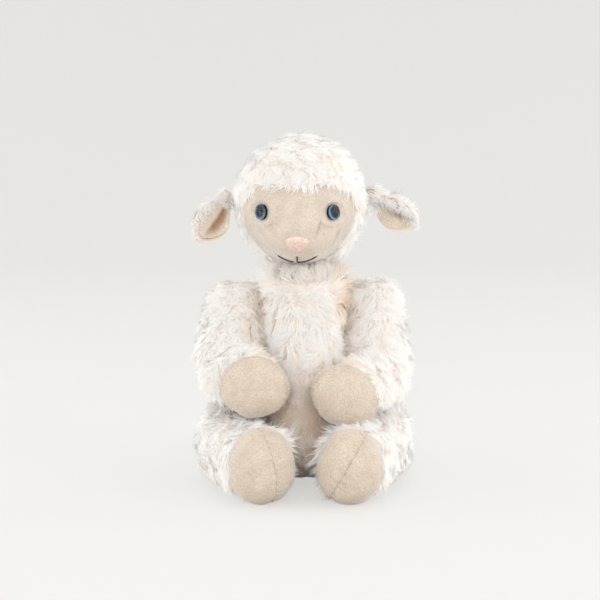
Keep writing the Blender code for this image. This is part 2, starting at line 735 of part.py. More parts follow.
def make_leg(side, leg):
    """A leg that lies forward on the floor, its foot turned up."""
    start = hip(side)
    stations = []
    for forward, inward, wide, tall in LEG_SHARES:
        half_width, half_height = LEG_HALF_WIDTH * wide, LEG_HALF_HEIGHT * tall
        x = abs(start[0]) - LEG_TOE_IN * inward
        y = start[1] - LEG_LENGTH * forward
        z = half_height - SETTLE
        stations.append((side_place(side, x, y, z), half_width, half_height))
    ankle = stations[-2][0]
    foot_x = abs(ankle[0]) - FOOT_IN[side]
    foot = side_place(side, foot_x, ankle[1] - FOOT_AHEAD, FOOT_HALF_HEIGHT - SETTLE)
    sizes = (FOOT_HALF_WIDTH, FOOT_HALF_LENGTH, FOOT_HALF_HEIGHT)
    ball = (foot, sizes, Matrix.Rotation(SIDES[side] * FOOT_TURN[side], 3, "Z"))
    outward = 0.0 if side == "left" else math.pi
    names = ("foot_outer_" + side, "foot_inner_" + side)
    halves = end_pad(names, (outward, math.pi - outward), ball, leg, True)
    make_limb("leg", side, stations, LEG_SIDES, LEG_ROWS, ball, halves, leg, True)


# The tail


def tail_root():
    """Centre of the tail's round root, just behind the body."""
    back = torso_ring(TAIL_HEIGHT / TORSO_HEIGHT, 0.0)[:, 1].max()
    return np.array((0.0, back + GAP + TAIL_RADIUS, TAIL_HEIGHT))


def make_tail(tail):
    """A short hanging tail, open at the root where it is sewn on."""
    way = np.array((0.0, math.cos(TAIL_TILT), -math.sin(TAIL_TILT)))

    def rings(drawn_in):
        stations = []
        for length, wide in TAIL_SHARES:
            half = max(TAIL_RADIUS * wide, drawn_in)
            stations.append((tail_root() + way * length * (TAIL_LENGTH - drawn_in), half, half))
        found = limb_rings(stations, TAIL_SIDES, drawn_in, TAIL_ROWS)
        return found[1:]

    loft("tail_cover", rings(0.0)[::-1] + rings(FUR), FUR_FINISH, tail)
    loft("tail_stuffing", rings(FUR + STUFFING_GAP), FIBRE_FINISH, tail)


def main():
    """The whole toy on its joints."""
    for thing in list(bpy.data.objects):
        bpy.data.objects.remove(thing, do_unlink=True)
    body = pivot("body_pivot", (0.0, 0.0, 0.0))
    make_torso(body)
    neck_place = (HEAD_CENTRE[0], HEAD_CENTRE[1], TORSO_HEIGHT + GAP + NECK_THREAD / 2)
    neck = pivot("neck_pivot", neck_place, body)
    up = np.array((0.0, 0.0, 1.0))
    thread_ring("neck_seam", neck_place, up, NECK_RING_RADIUS, NECK_THREAD, SEAM_FINISH, neck)
    nod_place = (HEAD_CENTRE[0], HEAD_CENTRE[1], TORSO_HEIGHT + NECK_GAP + NOD_LIFT)
    head = pivot("head_pivot", nod_place, neck)
    face, stuffing = make_head(head)
    make_nose(head)
    make_mouth(head)
    for side, sign in SIDES.items():
        make_eye(side, face, stuffing, head)
        make_ear(side, pivot("ear_pivot_" + side, ear_root(side), head))
        sideways = np.array((sign, 0.0, 0.0))
        seam_x = TORSO_HALF_WIDTH + GAP + SEAM_THREAD / 2
        for kind, place, make in (("shoulder", shoulder(side), make_arm), ("hip", hip(side), make_leg)):
            seam = pivot(kind + "_seam_pivot_" + side, place, body)
            seam_place = np.array((sign * seam_x, place[1], place[2]))
            name = kind + "_seam_" + side
            thread_ring(name, seam_place, sideways, SEAM_RADIUS, SEAM_THREAD, SEAM_FINISH, seam)
            make(side, pivot(kind + "_pivot_" + side, place, seam))
    make_tail(pivot("tail_pivot", tail_root(), body))


main()
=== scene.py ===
# %% [markdown]
# # A sitting plush sheep
# The toy is a set of sewn bags filled with fibre. Head, arms, legs, ears and tail are sewn to the
# body and move on their seams. The covers are curly fur, and face, paws, feet and ear linings are
# short pile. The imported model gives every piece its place, and this script gives it its looks. Left
# and right are the toy's own, so its left side is at +X, on the right of the picture.

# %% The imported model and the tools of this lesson
import math

import bpy
import numpy as np
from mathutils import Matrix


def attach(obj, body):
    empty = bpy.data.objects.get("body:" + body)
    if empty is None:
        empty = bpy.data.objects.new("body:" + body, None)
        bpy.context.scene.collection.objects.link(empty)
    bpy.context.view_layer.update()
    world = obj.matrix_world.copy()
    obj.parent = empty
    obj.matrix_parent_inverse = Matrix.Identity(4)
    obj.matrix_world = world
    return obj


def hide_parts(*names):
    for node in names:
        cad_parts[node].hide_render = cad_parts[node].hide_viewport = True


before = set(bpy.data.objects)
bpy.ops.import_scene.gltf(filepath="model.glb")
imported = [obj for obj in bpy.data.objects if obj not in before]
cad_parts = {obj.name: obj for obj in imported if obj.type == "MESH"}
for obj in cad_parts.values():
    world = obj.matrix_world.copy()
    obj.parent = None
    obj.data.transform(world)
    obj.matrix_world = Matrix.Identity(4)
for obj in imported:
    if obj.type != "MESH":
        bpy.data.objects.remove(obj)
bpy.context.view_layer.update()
SIDES = {"left": 1.0, "right": -1.0}

# %% [markdown]
# ## Smooth tables
# A pattern maker notes a few widths along a bag and draws a fair curve through them. The same is
# done here: a short table, and a cubic between its rows that never goes past a value in it. What
# changes over a piece, such as the fur's length, changes over a band: its start and its span.

# %% A fair curve through a table
def unit(vector):
    """Each vector divided by its own length."""
    return vector / np.maximum(np.linalg.norm(vector, axis=-1, keepdims=True), 1e-12)


def eased(table, column, at):
    """Cubic between rows: start and end values, plus slopes that are the rows' harmonic means."""
    values = np.array(table, float)
    place, value = values[:, 0], values[:, column]
    step = np.diff(place)
    slope = np.diff(value) / step
    product = slope[:-1] * slope[1:]
    total = np.where(product > 0, slope[:-1] + slope[1:], 1.0)
    bend = np.concatenate([slope[:1], np.where(product > 0, 2 * product / total, 0.0), slope[-1:]])
    index = np.clip(np.searchsorted(place, at, side="right") - 1, 0, len(step) - 1)
    part = (at - place[index]) / step[index]
    start = value[index] * (1 + 2 * part) * (1 - part) ** 2
    end = value[index + 1] * part**2 * (3 - 2 * part)
    turn_in = bend[index] * part * (1 - part) ** 2
    turn_out = bend[index + 1] * part**2 * (part - 1)
    return start + end + step[index] * (turn_in + turn_out)


def risen(value, start, span):
    """0 before the start, 1 past the whole span, and even between them. A negative span falls."""
    return np.clip((value - start) / span, 0, 1)


def circle(count):
    """Even angles once round, from 0."""
    return np.linspace(0, 2 * math.pi, count, endpoint=False)


print("a quarter along a fair curve:", eased(((0, 0), (0.5, 0.8), (1, 1)), 1, 0.25).round(3))

# %% [markdown]
# ## Cloud noise for pile and curls
# Pile is never even: it lies this way here and that way there. A texture node could show that,
# but real wisps need it as numbers. So heights are hashed on a cubic lattice and blended smoothly.

# %% Lattice noise on whole arrays
LATTICE_SHIFT = 31.7
HASH_FACTORS = (73856093, 19349663, 83492791)
HASH_SEED, HASH_SPREAD = 2654435761, 1274126177


def cloud(points, size, seed):
    """Heights from -1 to 1 on a lattice of this size, blended by 3t^2 - 2t^3 along each axis."""
    place = points / size + LATTICE_SHIFT * seed
    base = np.floor(place).astype(np.int64)
    part = place - base
    part = part * part * (3 - 2 * part)

    def corner(steps):
        """The height of a lattice point: its three whole numbers and the seed, scrambled."""
        x, y, z = (factor * (base[..., k] + steps[k]) for k, factor in enumerate(HASH_FACTORS))
        code = x ^ y ^ z ^ (seed * HASH_SEED)
        code = (code ^ (code >> 13)) * HASH_SPREAD & 0x7FFFFFFF
        code = code ^ (code >> 16)
        return (code & 0xFFFF) / 32767.5 - 1

    total = 0.0
    for steps in np.ndindex(2, 2, 2):
        weight = 1.0
        for axis, far in enumerate(steps):
            weight = weight * (part[..., axis] if far else 1 - part[..., axis])
        total = total + weight * corner(steps)
    return total


print("cloud at three places:", cloud(np.eye(3), 0.5, 1).round(3))

# %% [markdown]
# ## Closed bags from loops of points
# A sewn bag is a stack of loops that closes to a point at both ends. One function turns such a
# stack into a mesh, and turns the faces outward by the sign of the enclosed volume.

# %% Meshes from arrays
def add_mesh(name, points, faces, material):
    """A mesh object at the origin from point and face arrays, faces of one size per array."""
    mesh = bpy.data.meshes.new(name)
    sizes = np.concatenate([np.full(len(f), f.shape[1]) for f in faces])
    corners = np.concatenate([f.reshape(-1) for f in faces]).astype(np.int32)
    mesh.vertices.add(len(points))
    mesh.vertices.foreach_set("co", points.astype(np.float32).reshape(-1))
    mesh.loops.add(len(corners))
    mesh.loops.foreach_set("vertex_index", corners)
    mesh.polygons.add(len(sizes))
    starts = np.concatenate([[0], np.cumsum(sizes)[:-1]]).astype(np.int32)
    mesh.polygons.foreach_set("loop_start", starts)
    mesh.update(calc_edges=True)
    mesh.polygons.foreach_set("use_smooth", np.ones(len(sizes), bool))
    mesh.materials.append(material)
    piece = bpy.data.objects.new(name, mesh)
    bpy.context.scene.collection.objects.link(piece)
    return piece


def add_attribute(piece, label, values):
    """One number for each point of a piece, for its material to read."""
    layer = piece.data.attributes.new(label, "FLOAT", "POINT")
    layer.data.foreach_set("value", values.astype(np.float32))


def outward(points, faces):
    """The faces, all turned round if they enclose a negative volume."""
    volume = 0.0
    for f in faces:
        for k in range(1, f.shape[1] - 1):
            a, b, c = points[f[:, 0]], points[f[:, k]], points[f[:, k + 1]]
            volume += np.einsum("ij,ij->", a, np.cross(b, c))
    return faces if volume > 0 else [f[:, ::-1] for f in faces]


def bag(name, loops, material):
    """Loops joined by quads, the first and the last loop shrunk to one point each."""
    rows, columns = loops.shape[:2]
    poles = loops[0].mean(0), loops[-1].mean(0)
    points = np.concatenate([poles[:1], loops[1:-1].reshape(-1, 3), poles[1:]])
    index = 1 + np.arange((rows - 2) * columns).reshape(rows - 2, columns)
    after = np.roll(index, -1, axis=1)
    quads = np.stack([index[:-1], after[:-1], after[1:], index[1:]], -1).reshape(-1, 4)
    low = np.stack([np.zeros(columns, int), after[0], index[0]], -1)
    high = np.stack([index[-1], after[-1], np.full(columns, len(points) - 1)], -1)
    return add_mesh(name, points, outward(points, [quads, low, high]), material)


def hoop(name, loops, material):
    """Loops joined by quads, the last one to the first: a ring."""
    rows, columns = loops.shape[:2]
    index = np.arange(rows * columns).reshape(rows, columns)
    after = np.roll(index, -1, axis=1)
    quads = np.stack([index, after, np.roll(after, -1, 0), np.roll(index, -1, 0)], -1)
    points = loops.reshape(-1, 3)
    return add_mesh(name, points, outward(points, [quads.reshape(-1, 4)]), material)


def place_in(piece, body, slot, *nodes):
    """Hangs a piece on its body and hides the nodes it stands for. Its slot is not used."""
    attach(piece, body)
    if nodes:
        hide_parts(*nodes)
    return piece


print("meshes so far:", len(bpy.data.meshes))

# %% [markdown]
# ## Camera
# The photograph looks slightly down on the toy from a little over a metre, with a long lens. The
# camera stands in that place, and a small shift puts the toy where it stands in the frame.

# %% The camera at the photograph's view
AIM = np.array((0.0, 0.0, 0.114))
DISTANCE = 1.2
RISE_ANGLE = math.radians(8)
FOCAL_PIXELS = 1846.0
FRAME_PIXELS = 600.0
SHIFT_PIXELS = -4.5
SENSOR = 36.0

lens = bpy.data.cameras.new("camera")
lens.sensor_width = SENSOR
lens.lens = SENSOR * FOCAL_PIXELS / FRAME_PIXELS
lens.shift_x = SHIFT_PIXELS / FRAME_PIXELS
camera = bpy.data.objects.new("camera", lens)
camera.location = AIM + DISTANCE * np.array((0.0, -math.cos(RISE_ANGLE), math.sin(RISE_ANGLE)))
camera.rotation_euler = (math.pi / 2 - RISE_ANGLE, 0.0, 0.0)
bpy.context.scene.collection.objects.link(camera)
bpy.context.scene.camera = camera
bpy.context.scene.view_settings.view_transform = "Standard"
print("lens", round(lens.lens, 1), "mm")

# %% [markdown]
# ## Finishes
# Fur is lighter at the tips, where the light reaches, and darker and warmer at the roots: painted
# shade deep in the pile. Short pile shows a fine grain. Safety eyes are clear plastic over a blue
# ring and a black back. Each finish is made of nodes on the piece's own place or attribute, so it
# looks the same from every side.

# %% Nodes that the finishes share
WHITE = (1.0, 1.0, 1.0)
NOISE_LOW, NOISE_HIGH = 0.35, 0.65


def finish(name, colour, roughness, **sockets):
    """A Principled material with these values on its sockets, with its nodes, links and shader."""
    material = bpy.data.materials.new(name)
    material.use_nodes = True
    shader = material.node_tree.nodes["Principled BSDF"]
    shader.inputs["Base Color"].default_value = (*colour, 1.0)
    shader.inputs["Roughness"].default_value = roughness
    for socket, value in sockets.items():
        shader.inputs[socket.replace("_", " ")].default_value = value
    return material, material.node_tree.nodes, material.node_tree.links, shader


def colour_ramp(nodes, links, value, stops):
    """A value turned into a colour between these stops, of which the two ends come first."""
    ramp = nodes.new("ShaderNodeValToRGB")
    elements = ramp.color_ramp.elements
    for index, (place, colour) in enumerate(stops):
        element = elements[index] if index < 2 else elements.new(place)
        element.position = place
        element.color = (*colour, 1.0)
    links.new(value, ramp.inputs["Fac"])
    return ramp.outputs[0]


def two_tone(nodes, links, value, dark, light):
    """Dark in the valleys of a noise and light on its heights."""
    return colour_ramp(nodes, links, value, ((NOISE_LOW, dark), (NOISE_HIGH, light)))


def noise(nodes, links, place, scale, detail):
    """A noise texture on these coordinates."""
    texture = nodes.new("ShaderNodeTexNoise")
    texture.inputs["Scale"].default_value = scale
    texture.inputs["Detail"].default_value = detail
    links.new(place, texture.inputs["Vector"])
    return texture.outputs["Fac"]


def attribute(nodes, name):
    """The number that a piece's points carry under this name."""
    node = nodes.new("ShaderNodeAttribute")
    node.attribute_name = name
    return node.outputs["Fac"]


def tinted(nodes, links, colour, tint):
    """One colour times another. A Mix node has its colours on inputs 6 and 7 and on output 2."""
    mix = nodes.new("ShaderNodeMix")
    mix.data_type = "RGBA"
    mix.blend_type = "MULTIPLY"
    mix.inputs[0].default_value = 1.0
    links.new(colour, mix.inputs[6])
    links.new(tint, mix.inputs[7])
    return mix.outputs[2]


def worked(nodes, links, kind, operation, *values):
    """Outputs of a math node, whose values are outputs to link, or numbers or vectors to set."""
    node = nodes.new(kind)
    node.operation = operation
    for socket, value in zip(node.inputs, values):
        if isinstance(value, bpy.types.NodeSocket):
            links.new(value, socket)
        else:
            socket.default_value = value
    return node.outputs


def show_instead(material, shader, other, share, rays):
    """Rays of these kinds see this share of another shader in place of the piece's own."""
    nodes, links = material.node_tree.nodes, material.node_tree.links
    path = nodes.new("ShaderNodeLightPath")
    seen = path.outputs[rays[0]]
    for ray in rays[1:]:
        seen = worked(nodes, links, "ShaderNodeMath", "MAXIMUM", seen, path.outputs[ray])[0]
    amount = worked(nodes, links, "ShaderNodeMath", "MULTIPLY", seen, share)[0]
    blend = nodes.new("ShaderNodeMixShader")
    for socket, output in zip(blend.inputs, (amount, shader.outputs[0], other.outputs[0])):
        links.new(output, socket)
    links.new(blend.outputs[0], nodes["Material Output"].inputs["Surface"])


def let_light_by(material, shader, share, rays=("Is Shadow Ray",)):
    """These rays see this share of the piece as clear, so fibres and domes don't block light."""
    clear = material.node_tree.nodes.new("ShaderNodeBsdfTransparent")
    show_instead(material, shader, clear, share, rays)


print("noise is read between:", NOISE_LOW, "and", NOISE_HIGH)

# %% Materials
LIGHT_THROUGH = 0.92
MIDDLE_PLACE = 0.45
# Lock tones vary at random; the dark, warm start of this ramp is painted shade that tinted locks in gaps
# reach.
LOCK_TONES = ((0.0, (0.80, 0.61, 0.47)), (1.0, WHITE), (0.35, (0.97, 0.88, 0.79)),
              (0.7, (1.0, 0.985, 0.965)))
BRUSHED_SCALE, BRUSHED_TONE = 120.0, (0.92, 0.90, 0.875)
PILE_BUMP, PILE_DEPTH = 0.6, 0.0006
STRAND_SCALE = 1200.0


def fur_finish(name, root, middle, tip):
    """Wisps: root to tip colours along the attribute 'tip', times their lock's tone. The darker,
    warmer roots are painted shade deep in the pile.

    Fibres are so thin that light comes through: LIGHT_THROUGH of it passes a wisp.
    """
    material, nodes, links, shader = finish(name, tip, 0.75, Sheen_Weight=0.6, Sheen_Roughness=0.4)
    stops = ((0.0, root), (1.0, tip), (MIDDLE_PLACE, middle))
    along = colour_ramp(nodes, links, attribute(nodes, "tip"), stops)
    tone = colour_ramp(nodes, links, attribute(nodes, "lock"), LOCK_TONES)
    links.new(tinted(nodes, links, along, tone), shader.inputs["Base Color"])
    let_light_by(material, shader, LIGHT_THROUGH)
    return material


def velour_finish(name, dark, light, grain_size, crease_shade=None):
    """Short pile: fine grain in colour and height over brushed patches, darkened along any 'fold' by painted
    crease shade.
    """
    material, nodes, links, shader = finish(name, light, 0.85, Sheen_Weight=0.9, Sheen_Roughness=0.35)
    place = nodes.new("ShaderNodeTexCoord").outputs["Object"]
    grain = noise(nodes, links, place, 1 / grain_size, 4.0)
    brushed = noise(nodes, links, place, BRUSHED_SCALE, 3.0)
    fine = two_tone(nodes, links, grain, dark, light)
    pile = tinted(nodes, links, fine, two_tone(nodes, links, brushed, BRUSHED_TONE, WHITE))
    # Painted shade: the pile darkens towards the crease colour where the 'fold' attribute is deep.
    if crease_shade:
        depth = colour_ramp(nodes, links, attribute(nodes, "fold"), ((0.1, WHITE), (0.9, crease_shade)))
        pile = tinted(nodes, links, pile, depth)
    links.new(pile, shader.inputs["Base Color"])
    bump = nodes.new("ShaderNodeBump")
    bump.inputs["Strength"].default_value = PILE_BUMP
    bump.inputs["Distance"].default_value = PILE_DEPTH
    links.new(grain, bump.inputs["Height"])
    links.new(bump.outputs["Normal"], shader.inputs["Normal"])
    return material


def thread_finish(name, dark, light, roughness, stretch=(1.0, 1.0, 1.0)):
    """Thread: light and dark runs, drawn out by stretch."""
    material, nodes, links, shader = finish(name, light, roughness)
    drawn = nodes.new("ShaderNodeMapping")
    drawn.inputs["Scale"].default_value = stretch
    links.new(nodes.new("ShaderNodeTexCoord").outputs["Object"], drawn.inputs["Vector"])
    strand = noise(nodes, links, drawn.outputs["Vector"], STRAND_SCALE, 2.0)
    links.new(two_tone(nodes, links, strand, dark, light), shader.inputs["Base Color"])
    return material


FUR_LOOK = fur_finish("cream_fur", (0.97, 0.89, 0.81), (1.0, 0.975, 0.945), (1.0, 0.99, 0.97))
SKIN_LOOK = velour_finish("fur_ground", (0.93, 0.80, 0.69), (0.97, 0.88, 0.79), 0.0012)
# Painted shade: the face pile darkens along its darts, and the ear lining along its fold.
FACE_LOOK = velour_finish("face_pile", (0.585, 0.49, 0.405), (0.715, 0.635, 0.55), 0.0008,
                          crease_shade=(0.85, 0.79, 0.74))
PAW_LOOK = velour_finish("paw_pile", (0.56, 0.47, 0.385), (0.73, 0.63, 0.53), 0.0008)
LINING_LOOK = velour_finish("ear_lining_pile", (0.70, 0.58, 0.48), (0.88, 0.78, 0.67), 0.0009,
                            crease_shade=(0.60, 0.42, 0.30))
SEAM_LOOK = thread_finish("seam_thread", (0.72, 0.66, 0.56), (0.85, 0.80, 0.72), 0.8)
NOSE_LOOK = thread_finish("nose_satin", (0.72, 0.50, 0.42), (0.92, 0.76, 0.68), 0.6, (0.35, 1.0, 1.6))
MOUTH_LOOK = thread_finish("mouth_thread", (0.02, 0.015, 0.015), (0.06, 0.05, 0.05), 0.6)
BLACK_LOOK = finish("eye_black", (0.012, 0.016, 0.023), 0.6, Specular_IOR_Level=0.1)[0]
WASHER_LOOK = finish("washer_white", (0.72, 0.72, 0.70), 0.5)[0]
LENS_LOOK, _, _, dome_shader = finish(
    "eye_clear", WHITE, 0.0, Transmission_Weight=1.0, IOR=1.0,
    Coat_Weight=0.35, Coat_Roughness=0.02, Coat_IOR=1.4)
let_light_by(LENS_LOOK, dome_shader, 1.0, ("Is Shadow Ray", "Is Diffuse Ray"))
print("finishes:", len(bpy.data.materials))

# %% [markdown]
# ## Fur
# Plush fur is thousands of short wisps, and neighbours cling together in curling locks. Hair
# curves would be lighter, but they can't be exported as solids. So each wisp is a thin closed
# spindle of three sides, and whole arrays of them are worked out at once: roots are spread over a
# bag, each wisp starts near the bag's normal and leans over along the flow, and its tip is drawn
# towards the tip of its lock. Normals bent to the front make fur stand up there and catch the
# light, and a shade tint paints shade, darker and warmer, on the locks that sit in a shaded gap.

# %% Spreading roots over a bag
FUR_DENSITY = 1.5e6


def loop_frame(loops):
    """Normals and row directions at a stack's points, from differences along rows and columns."""
    along = np.gradient(loops, axis=0)
    around = np.roll(loops, -1, axis=1) - np.roll(loops, 1, axis=1)
    normal = unit(np.cross(along, around))
    out = loops - loops.mean(axis=1, keepdims=True)
    return normal if np.einsum("ijk,ijk->", normal, out) > 0 else -normal, unit(along)


def scatter(loops, rng, weight=1.0):
    """Roots in cells picked by area times weight, at random places in each cell.

    Gives their places, the bag's normals, the way along its rows and the row they are on.
    """
    normal, along = loop_frame(loops)
    closed = np.concatenate([loops, loops[:, :1]], axis=1)
    first, second = closed[1:, 1:] - closed[:-1, :-1], closed[1:, :-1] - closed[:-1, 1:]
    area = np.linalg.norm(np.cross(first, second), axis=-1) / 2
    middle = (closed[1:, 1:] + closed[:-1, :-1] + closed[1:, :-1] + closed[:-1, 1:]) / 4
    share = weight(middle) if callable(weight) else weight
    chance = (area * share).reshape(-1)
    count = int(chance.sum() * FUR_DENSITY)
    cell = rng.choice(len(chance), count, p=chance / chance.sum())
    row, column = np.divmod(cell, loops.shape[1])
    s, t = rng.random((2, count, 1))
    after = (column + 1) % loops.shape[1]

    def blend(values):
        """A value of the bag's points at each root, even between the cell's four corners."""
        near = values[row, column] * (1 - t) + values[row, after] * t
        far = values[row + 1, column] * (1 - t) + values[row + 1, after] * t
        return near * (1 - s) + far * s

    return blend(loops), unit(blend(normal)), unit(blend(along)), row + s[:, 0]


print("roots to a square centimetre:", round(FUR_DENSITY / 1e4))

# %% Wisps and locks
SEGMENTS = 3
WISP_SIDES = 3
PULL_SHARES = np.array((0.0, 0.12, 0.36, 0.62))
WIDTH_SHARES = np.array((1.0, 0.78))
FIRST_SPOKE = 0.5
OWN_SHADE = 0.6
SKY_LEAN = 0.15
FLOOR_CLEARANCE = 0.0006


def wisp_paths(root, normal, flow, length, lean, curl):
    """Points of each wisp: steps whose way leans from the normal to the flow while it turns by curl."""
    side = np.cross(normal, flow)
    points = [root]
    for step in range(SEGMENTS):
        part = (step + 0.5) / SEGMENTS
        tilt = (lean[0] + (lean[1] - lean[0]) * part)[:, None]
        turn = (curl * part)[:, None]
        level = flow * np.cos(turn) + side * np.sin(turn)
        way = normal * np.cos(tilt) + level * np.sin(tilt)
        points.append(points[-1] + way * (length / SEGMENTS)[:, None])
    return np.stack(points, axis=1)


def wisp_mesh(name, paths, out, radius, lock_tone, material):
    """Three-sided spindles along the paths: a root point, two rings and a tip, all closed.

    'tip' and 'lock' are kept as attributes. Shading normals lean towards the bag's own, so a
    lock is shaded as a soft mass and not as single bristles.
    """
    count = len(paths)
    way = unit(paths[:, 2:] - paths[:, :-2])
    first = unit(np.cross(way, out[:, None]))
    second = np.cross(way, first)
    angle = np.arange(WISP_SIDES) * 2 * math.pi / WISP_SIDES + FIRST_SPOKE
    spoke = first[:, :, None] * np.cos(angle)[:, None] + second[:, :, None] * np.sin(angle)[:, None]
    rings = paths[:, 1:-1, None] + spoke * (radius[:, None] * WIDTH_SHARES)[:, :, None, None]
    points = np.concatenate([paths[:, :1], rings.reshape(count, -1, 3), paths[:, -1:]], axis=1)
    each = points.shape[1]
    far, tip = 1 + WISP_SIDES, each - 1
    turns = [(j, (j + 1) % WISP_SIDES) for j in range(WISP_SIDES)]
    sides = np.array([(1 + j, 1 + k, far + k, far + j) for j, k in turns])
    ends = np.array([(0, 1 + k, 1 + j) for j, k in turns] + [(far + j, far + k, tip) for j, k in turns])
    start = (np.arange(count) * each)[:, None, None]
    faces = [(start + part).reshape(-1, part.shape[1]) for part in (sides, ends)]
    piece = add_mesh(name, points.reshape(-1, 3), faces, material)
    height = np.array((0.0, *[1 / 3] * WISP_SIDES, *[2 / 3] * WISP_SIDES, 1.0))
    add_attribute(piece, "tip", np.tile(height, count))
    add_attribute(piece, "lock", np.repeat(lock_tone, each))
    own = np.concatenate([out[:, None], spoke.reshape(count, -1, 3), way[:, -1:]], axis=1)
    shading = unit(out[:, None] + OWN_SHADE * own + SKY_LEAN * np.array((0, 0, 1.0))).reshape(-1, 3)
    piece.data.normals_split_custom_set_from_vertices(shading.tolist())
    return piece


print("sides of a wisp:", WISP_SIDES, "rings:", len(WIDTH_SHARES))

# %% Fur grown from roots
PIECE_WISPS, LOCK_WISPS = 16000, 26
NEAREST_SLICES = 40
WISP_RADIUS, CLING = 0.0002, 0.22
SWIRL_TURN, SWIRL_SIZE = 1.5, 0.013
LOCK_TURN, WISP_TURN = 0.4, 0.33
LOCK_BEND, WISP_BEND = 0.3, 0.5
ROOT_LEAN, LOCK_LEAN, TIP_LEAN = 0.12, 0.18, 0.14
LOCK_TONE, TONE_SPREAD = 0.82, 0.12
fur_count = 0


def nearest(points, centres):
    """The index of the nearest centre to each point, a slice of the points at a time."""
    slices = np.array_split(points, NEAREST_SLICES)
    return np.concatenate([((part[:, None] - centres) ** 2).sum(-1).argmin(1) for part in slices])


def about_one(rng, count, half=0.2):
    """Random shares, up to half less or more than 1."""
    return 1 - half + 2 * half * rng.random(count)


def bent(rooted, amount, way):
    """Roots whose normals are turned by this amount towards a way."""
    return (rooted[0], unit(rooted[1] + amount[:, None] * np.array(way)), rooted[2])


def grow_fur(name, body, rooted, flow, length, rng, lean=(0.85, 1.5), curl=1.0, swirl=1.0, order=2,
             shade_tint=0.0):
    """Wisps from roots on a bag, cut into panels of at most PIECE_WISPS along one axis.

    A wisp turns, bends and leans by its lock's amount plus a little of its own, and its points are
    drawn to those of the lock's leading wisp. The shade tint takes a lock's tone down towards the
    ramp's dark, warm start: painted shade on locks in shaded gaps.
    """
    global fur_count
    root, normal = rooted[0], rooted[1]
    flow = unit(flow - (flow * normal).sum(-1, keepdims=True) * normal)
    count = len(root)
    length = np.broadcast_to(length, count) * about_one(rng, count)
    locks = max(count // LOCK_WISPS, 2)
    lead = rng.choice(count, locks, replace=False)
    lock = nearest(root, root[lead])
    turn = swirl * SWIRL_TURN * cloud(root[lead], SWIRL_SIZE, 3) + rng.normal(0, LOCK_TURN * swirl, locks)
    turn = (turn[lock] + rng.normal(0, WISP_TURN, count))[:, None]
    flow = flow * np.cos(turn) + np.cross(normal, flow) * np.sin(turn)
    bend = rng.choice((-1.0, 1.0), locks) * (LOCK_BEND + rng.random(locks))
    bend = (bend[lock] + rng.normal(0, WISP_BEND, count)) * curl
    long = about_one(rng, locks)[lock] * length
    low = lean[0] + rng.normal(0, ROOT_LEAN, count)
    high = lean[1] + (rng.normal(0, LOCK_LEAN, locks))[lock] + rng.normal(0, TIP_LEAN, count)
    paths = wisp_paths(root, normal, flow, long, (low, high), bend)
    paths = paths + (paths[lead][lock] - paths) * (CLING * PULL_SHARES)[None, :, None]
    paths[..., 2] = np.maximum(paths[..., 2], FLOOR_CLEARANCE)
    tone = (LOCK_TONE + TONE_SPREAD * rng.normal(size=locks))[lock] - LOCK_TONE * shade_tint
    tone = np.clip(tone, 0, 1)
    thick = WISP_RADIUS * about_one(rng, count, 0.25)
    panels = math.ceil(count / PIECE_WISPS)
    ordered = np.argsort(root[:, order], kind="stable")
    for number, part in enumerate(np.array_split(ordered, panels), 1):
        label = f"{name}_{number}" if panels > 1 else name
        wisps = wisp_mesh(label, paths[part], normal[part], thick[part], tone[part], FUR_LOOK)
        place_in(wisps, body, "fur")
    fur_count += count
    print(name, "wisps:", count, "locks:", locks, "panels:", panels)


# %% [markdown]
# ## Body
# The body is a pear-shaped bag: narrow at the neck, full at the belly, flat where it sits. Each
# level loop has its own half width and its own reach in front and behind.

# %% The body bag
TORSO_HEIGHT, TORSO_HALF_WIDTH = 0.134, 0.0275
BELLY_REACH, BACK_REACH = 0.046, 0.050
SEAT_FLARE = 0.010
TORSO_SHARES = (
    (0.00, 0.74, 0.66, 0.70, 0.5), (0.04, 0.92, 0.82, 0.86, 0.8), (0.12, 1.00, 0.94, 0.97, 1.0),
    (0.28, 1.00, 1.00, 1.00, 1.0), (0.45, 1.00, 0.98, 0.92, 0.35), (0.62, 1.00, 0.90, 0.80, 0.0),
    (0.80, 1.00, 0.80, 0.68, 0.0), (0.88, 0.96, 0.68, 0.56, 0.0), (0.95, 0.82, 0.50, 0.43, 0.0),
    (1.00, 0.44, 0.27, 0.25, 0.0),
)
SKIN_INSET = 0.001
CAP_ROWS = 6


def capped(count):
    """Rows 0 to 1 with short runs at both ends where the loops shrink: row share, loop share."""
    rise, shrink = np.linspace(0, 1, count), np.linspace(0, 1, CAP_ROWS)[:-1]
    share = np.concatenate([np.zeros(CAP_ROWS - 1), rise, np.ones(CAP_ROWS - 1)])
    return share[:, None], np.concatenate([shrink, np.ones(count), shrink[::-1]])[:, None]


def torso_loops(rows, columns, inset):
    """Level loops: width times cos^0.8 sideways, reach times sin front and back, flared at the seat."""
    share, size = capped(rows)
    angle = circle(columns)[None, :]
    width, front, back, flare = (eased(TORSO_SHARES, k, share) for k in (1, 2, 3, 4))
    across, deep = np.cos(angle), np.sin(angle)
    reach = np.where(deep < 0, BELLY_REACH * front, BACK_REACH * back) - inset
    wider = SEAT_FLARE * flare * np.clip(deep, 0, 1) ** 3 * np.abs(across) ** 0.5 * np.sign(across)
    x = (TORSO_HALF_WIDTH * width - inset) * np.sign(across) * np.abs(across) ** 0.8 + wider
    z = np.clip(TORSO_HEIGHT * share, inset * 0.2, TORSO_HEIGHT - inset) * np.ones_like(angle)
    return np.stack([x * size, reach * deep * size, z], axis=-1)


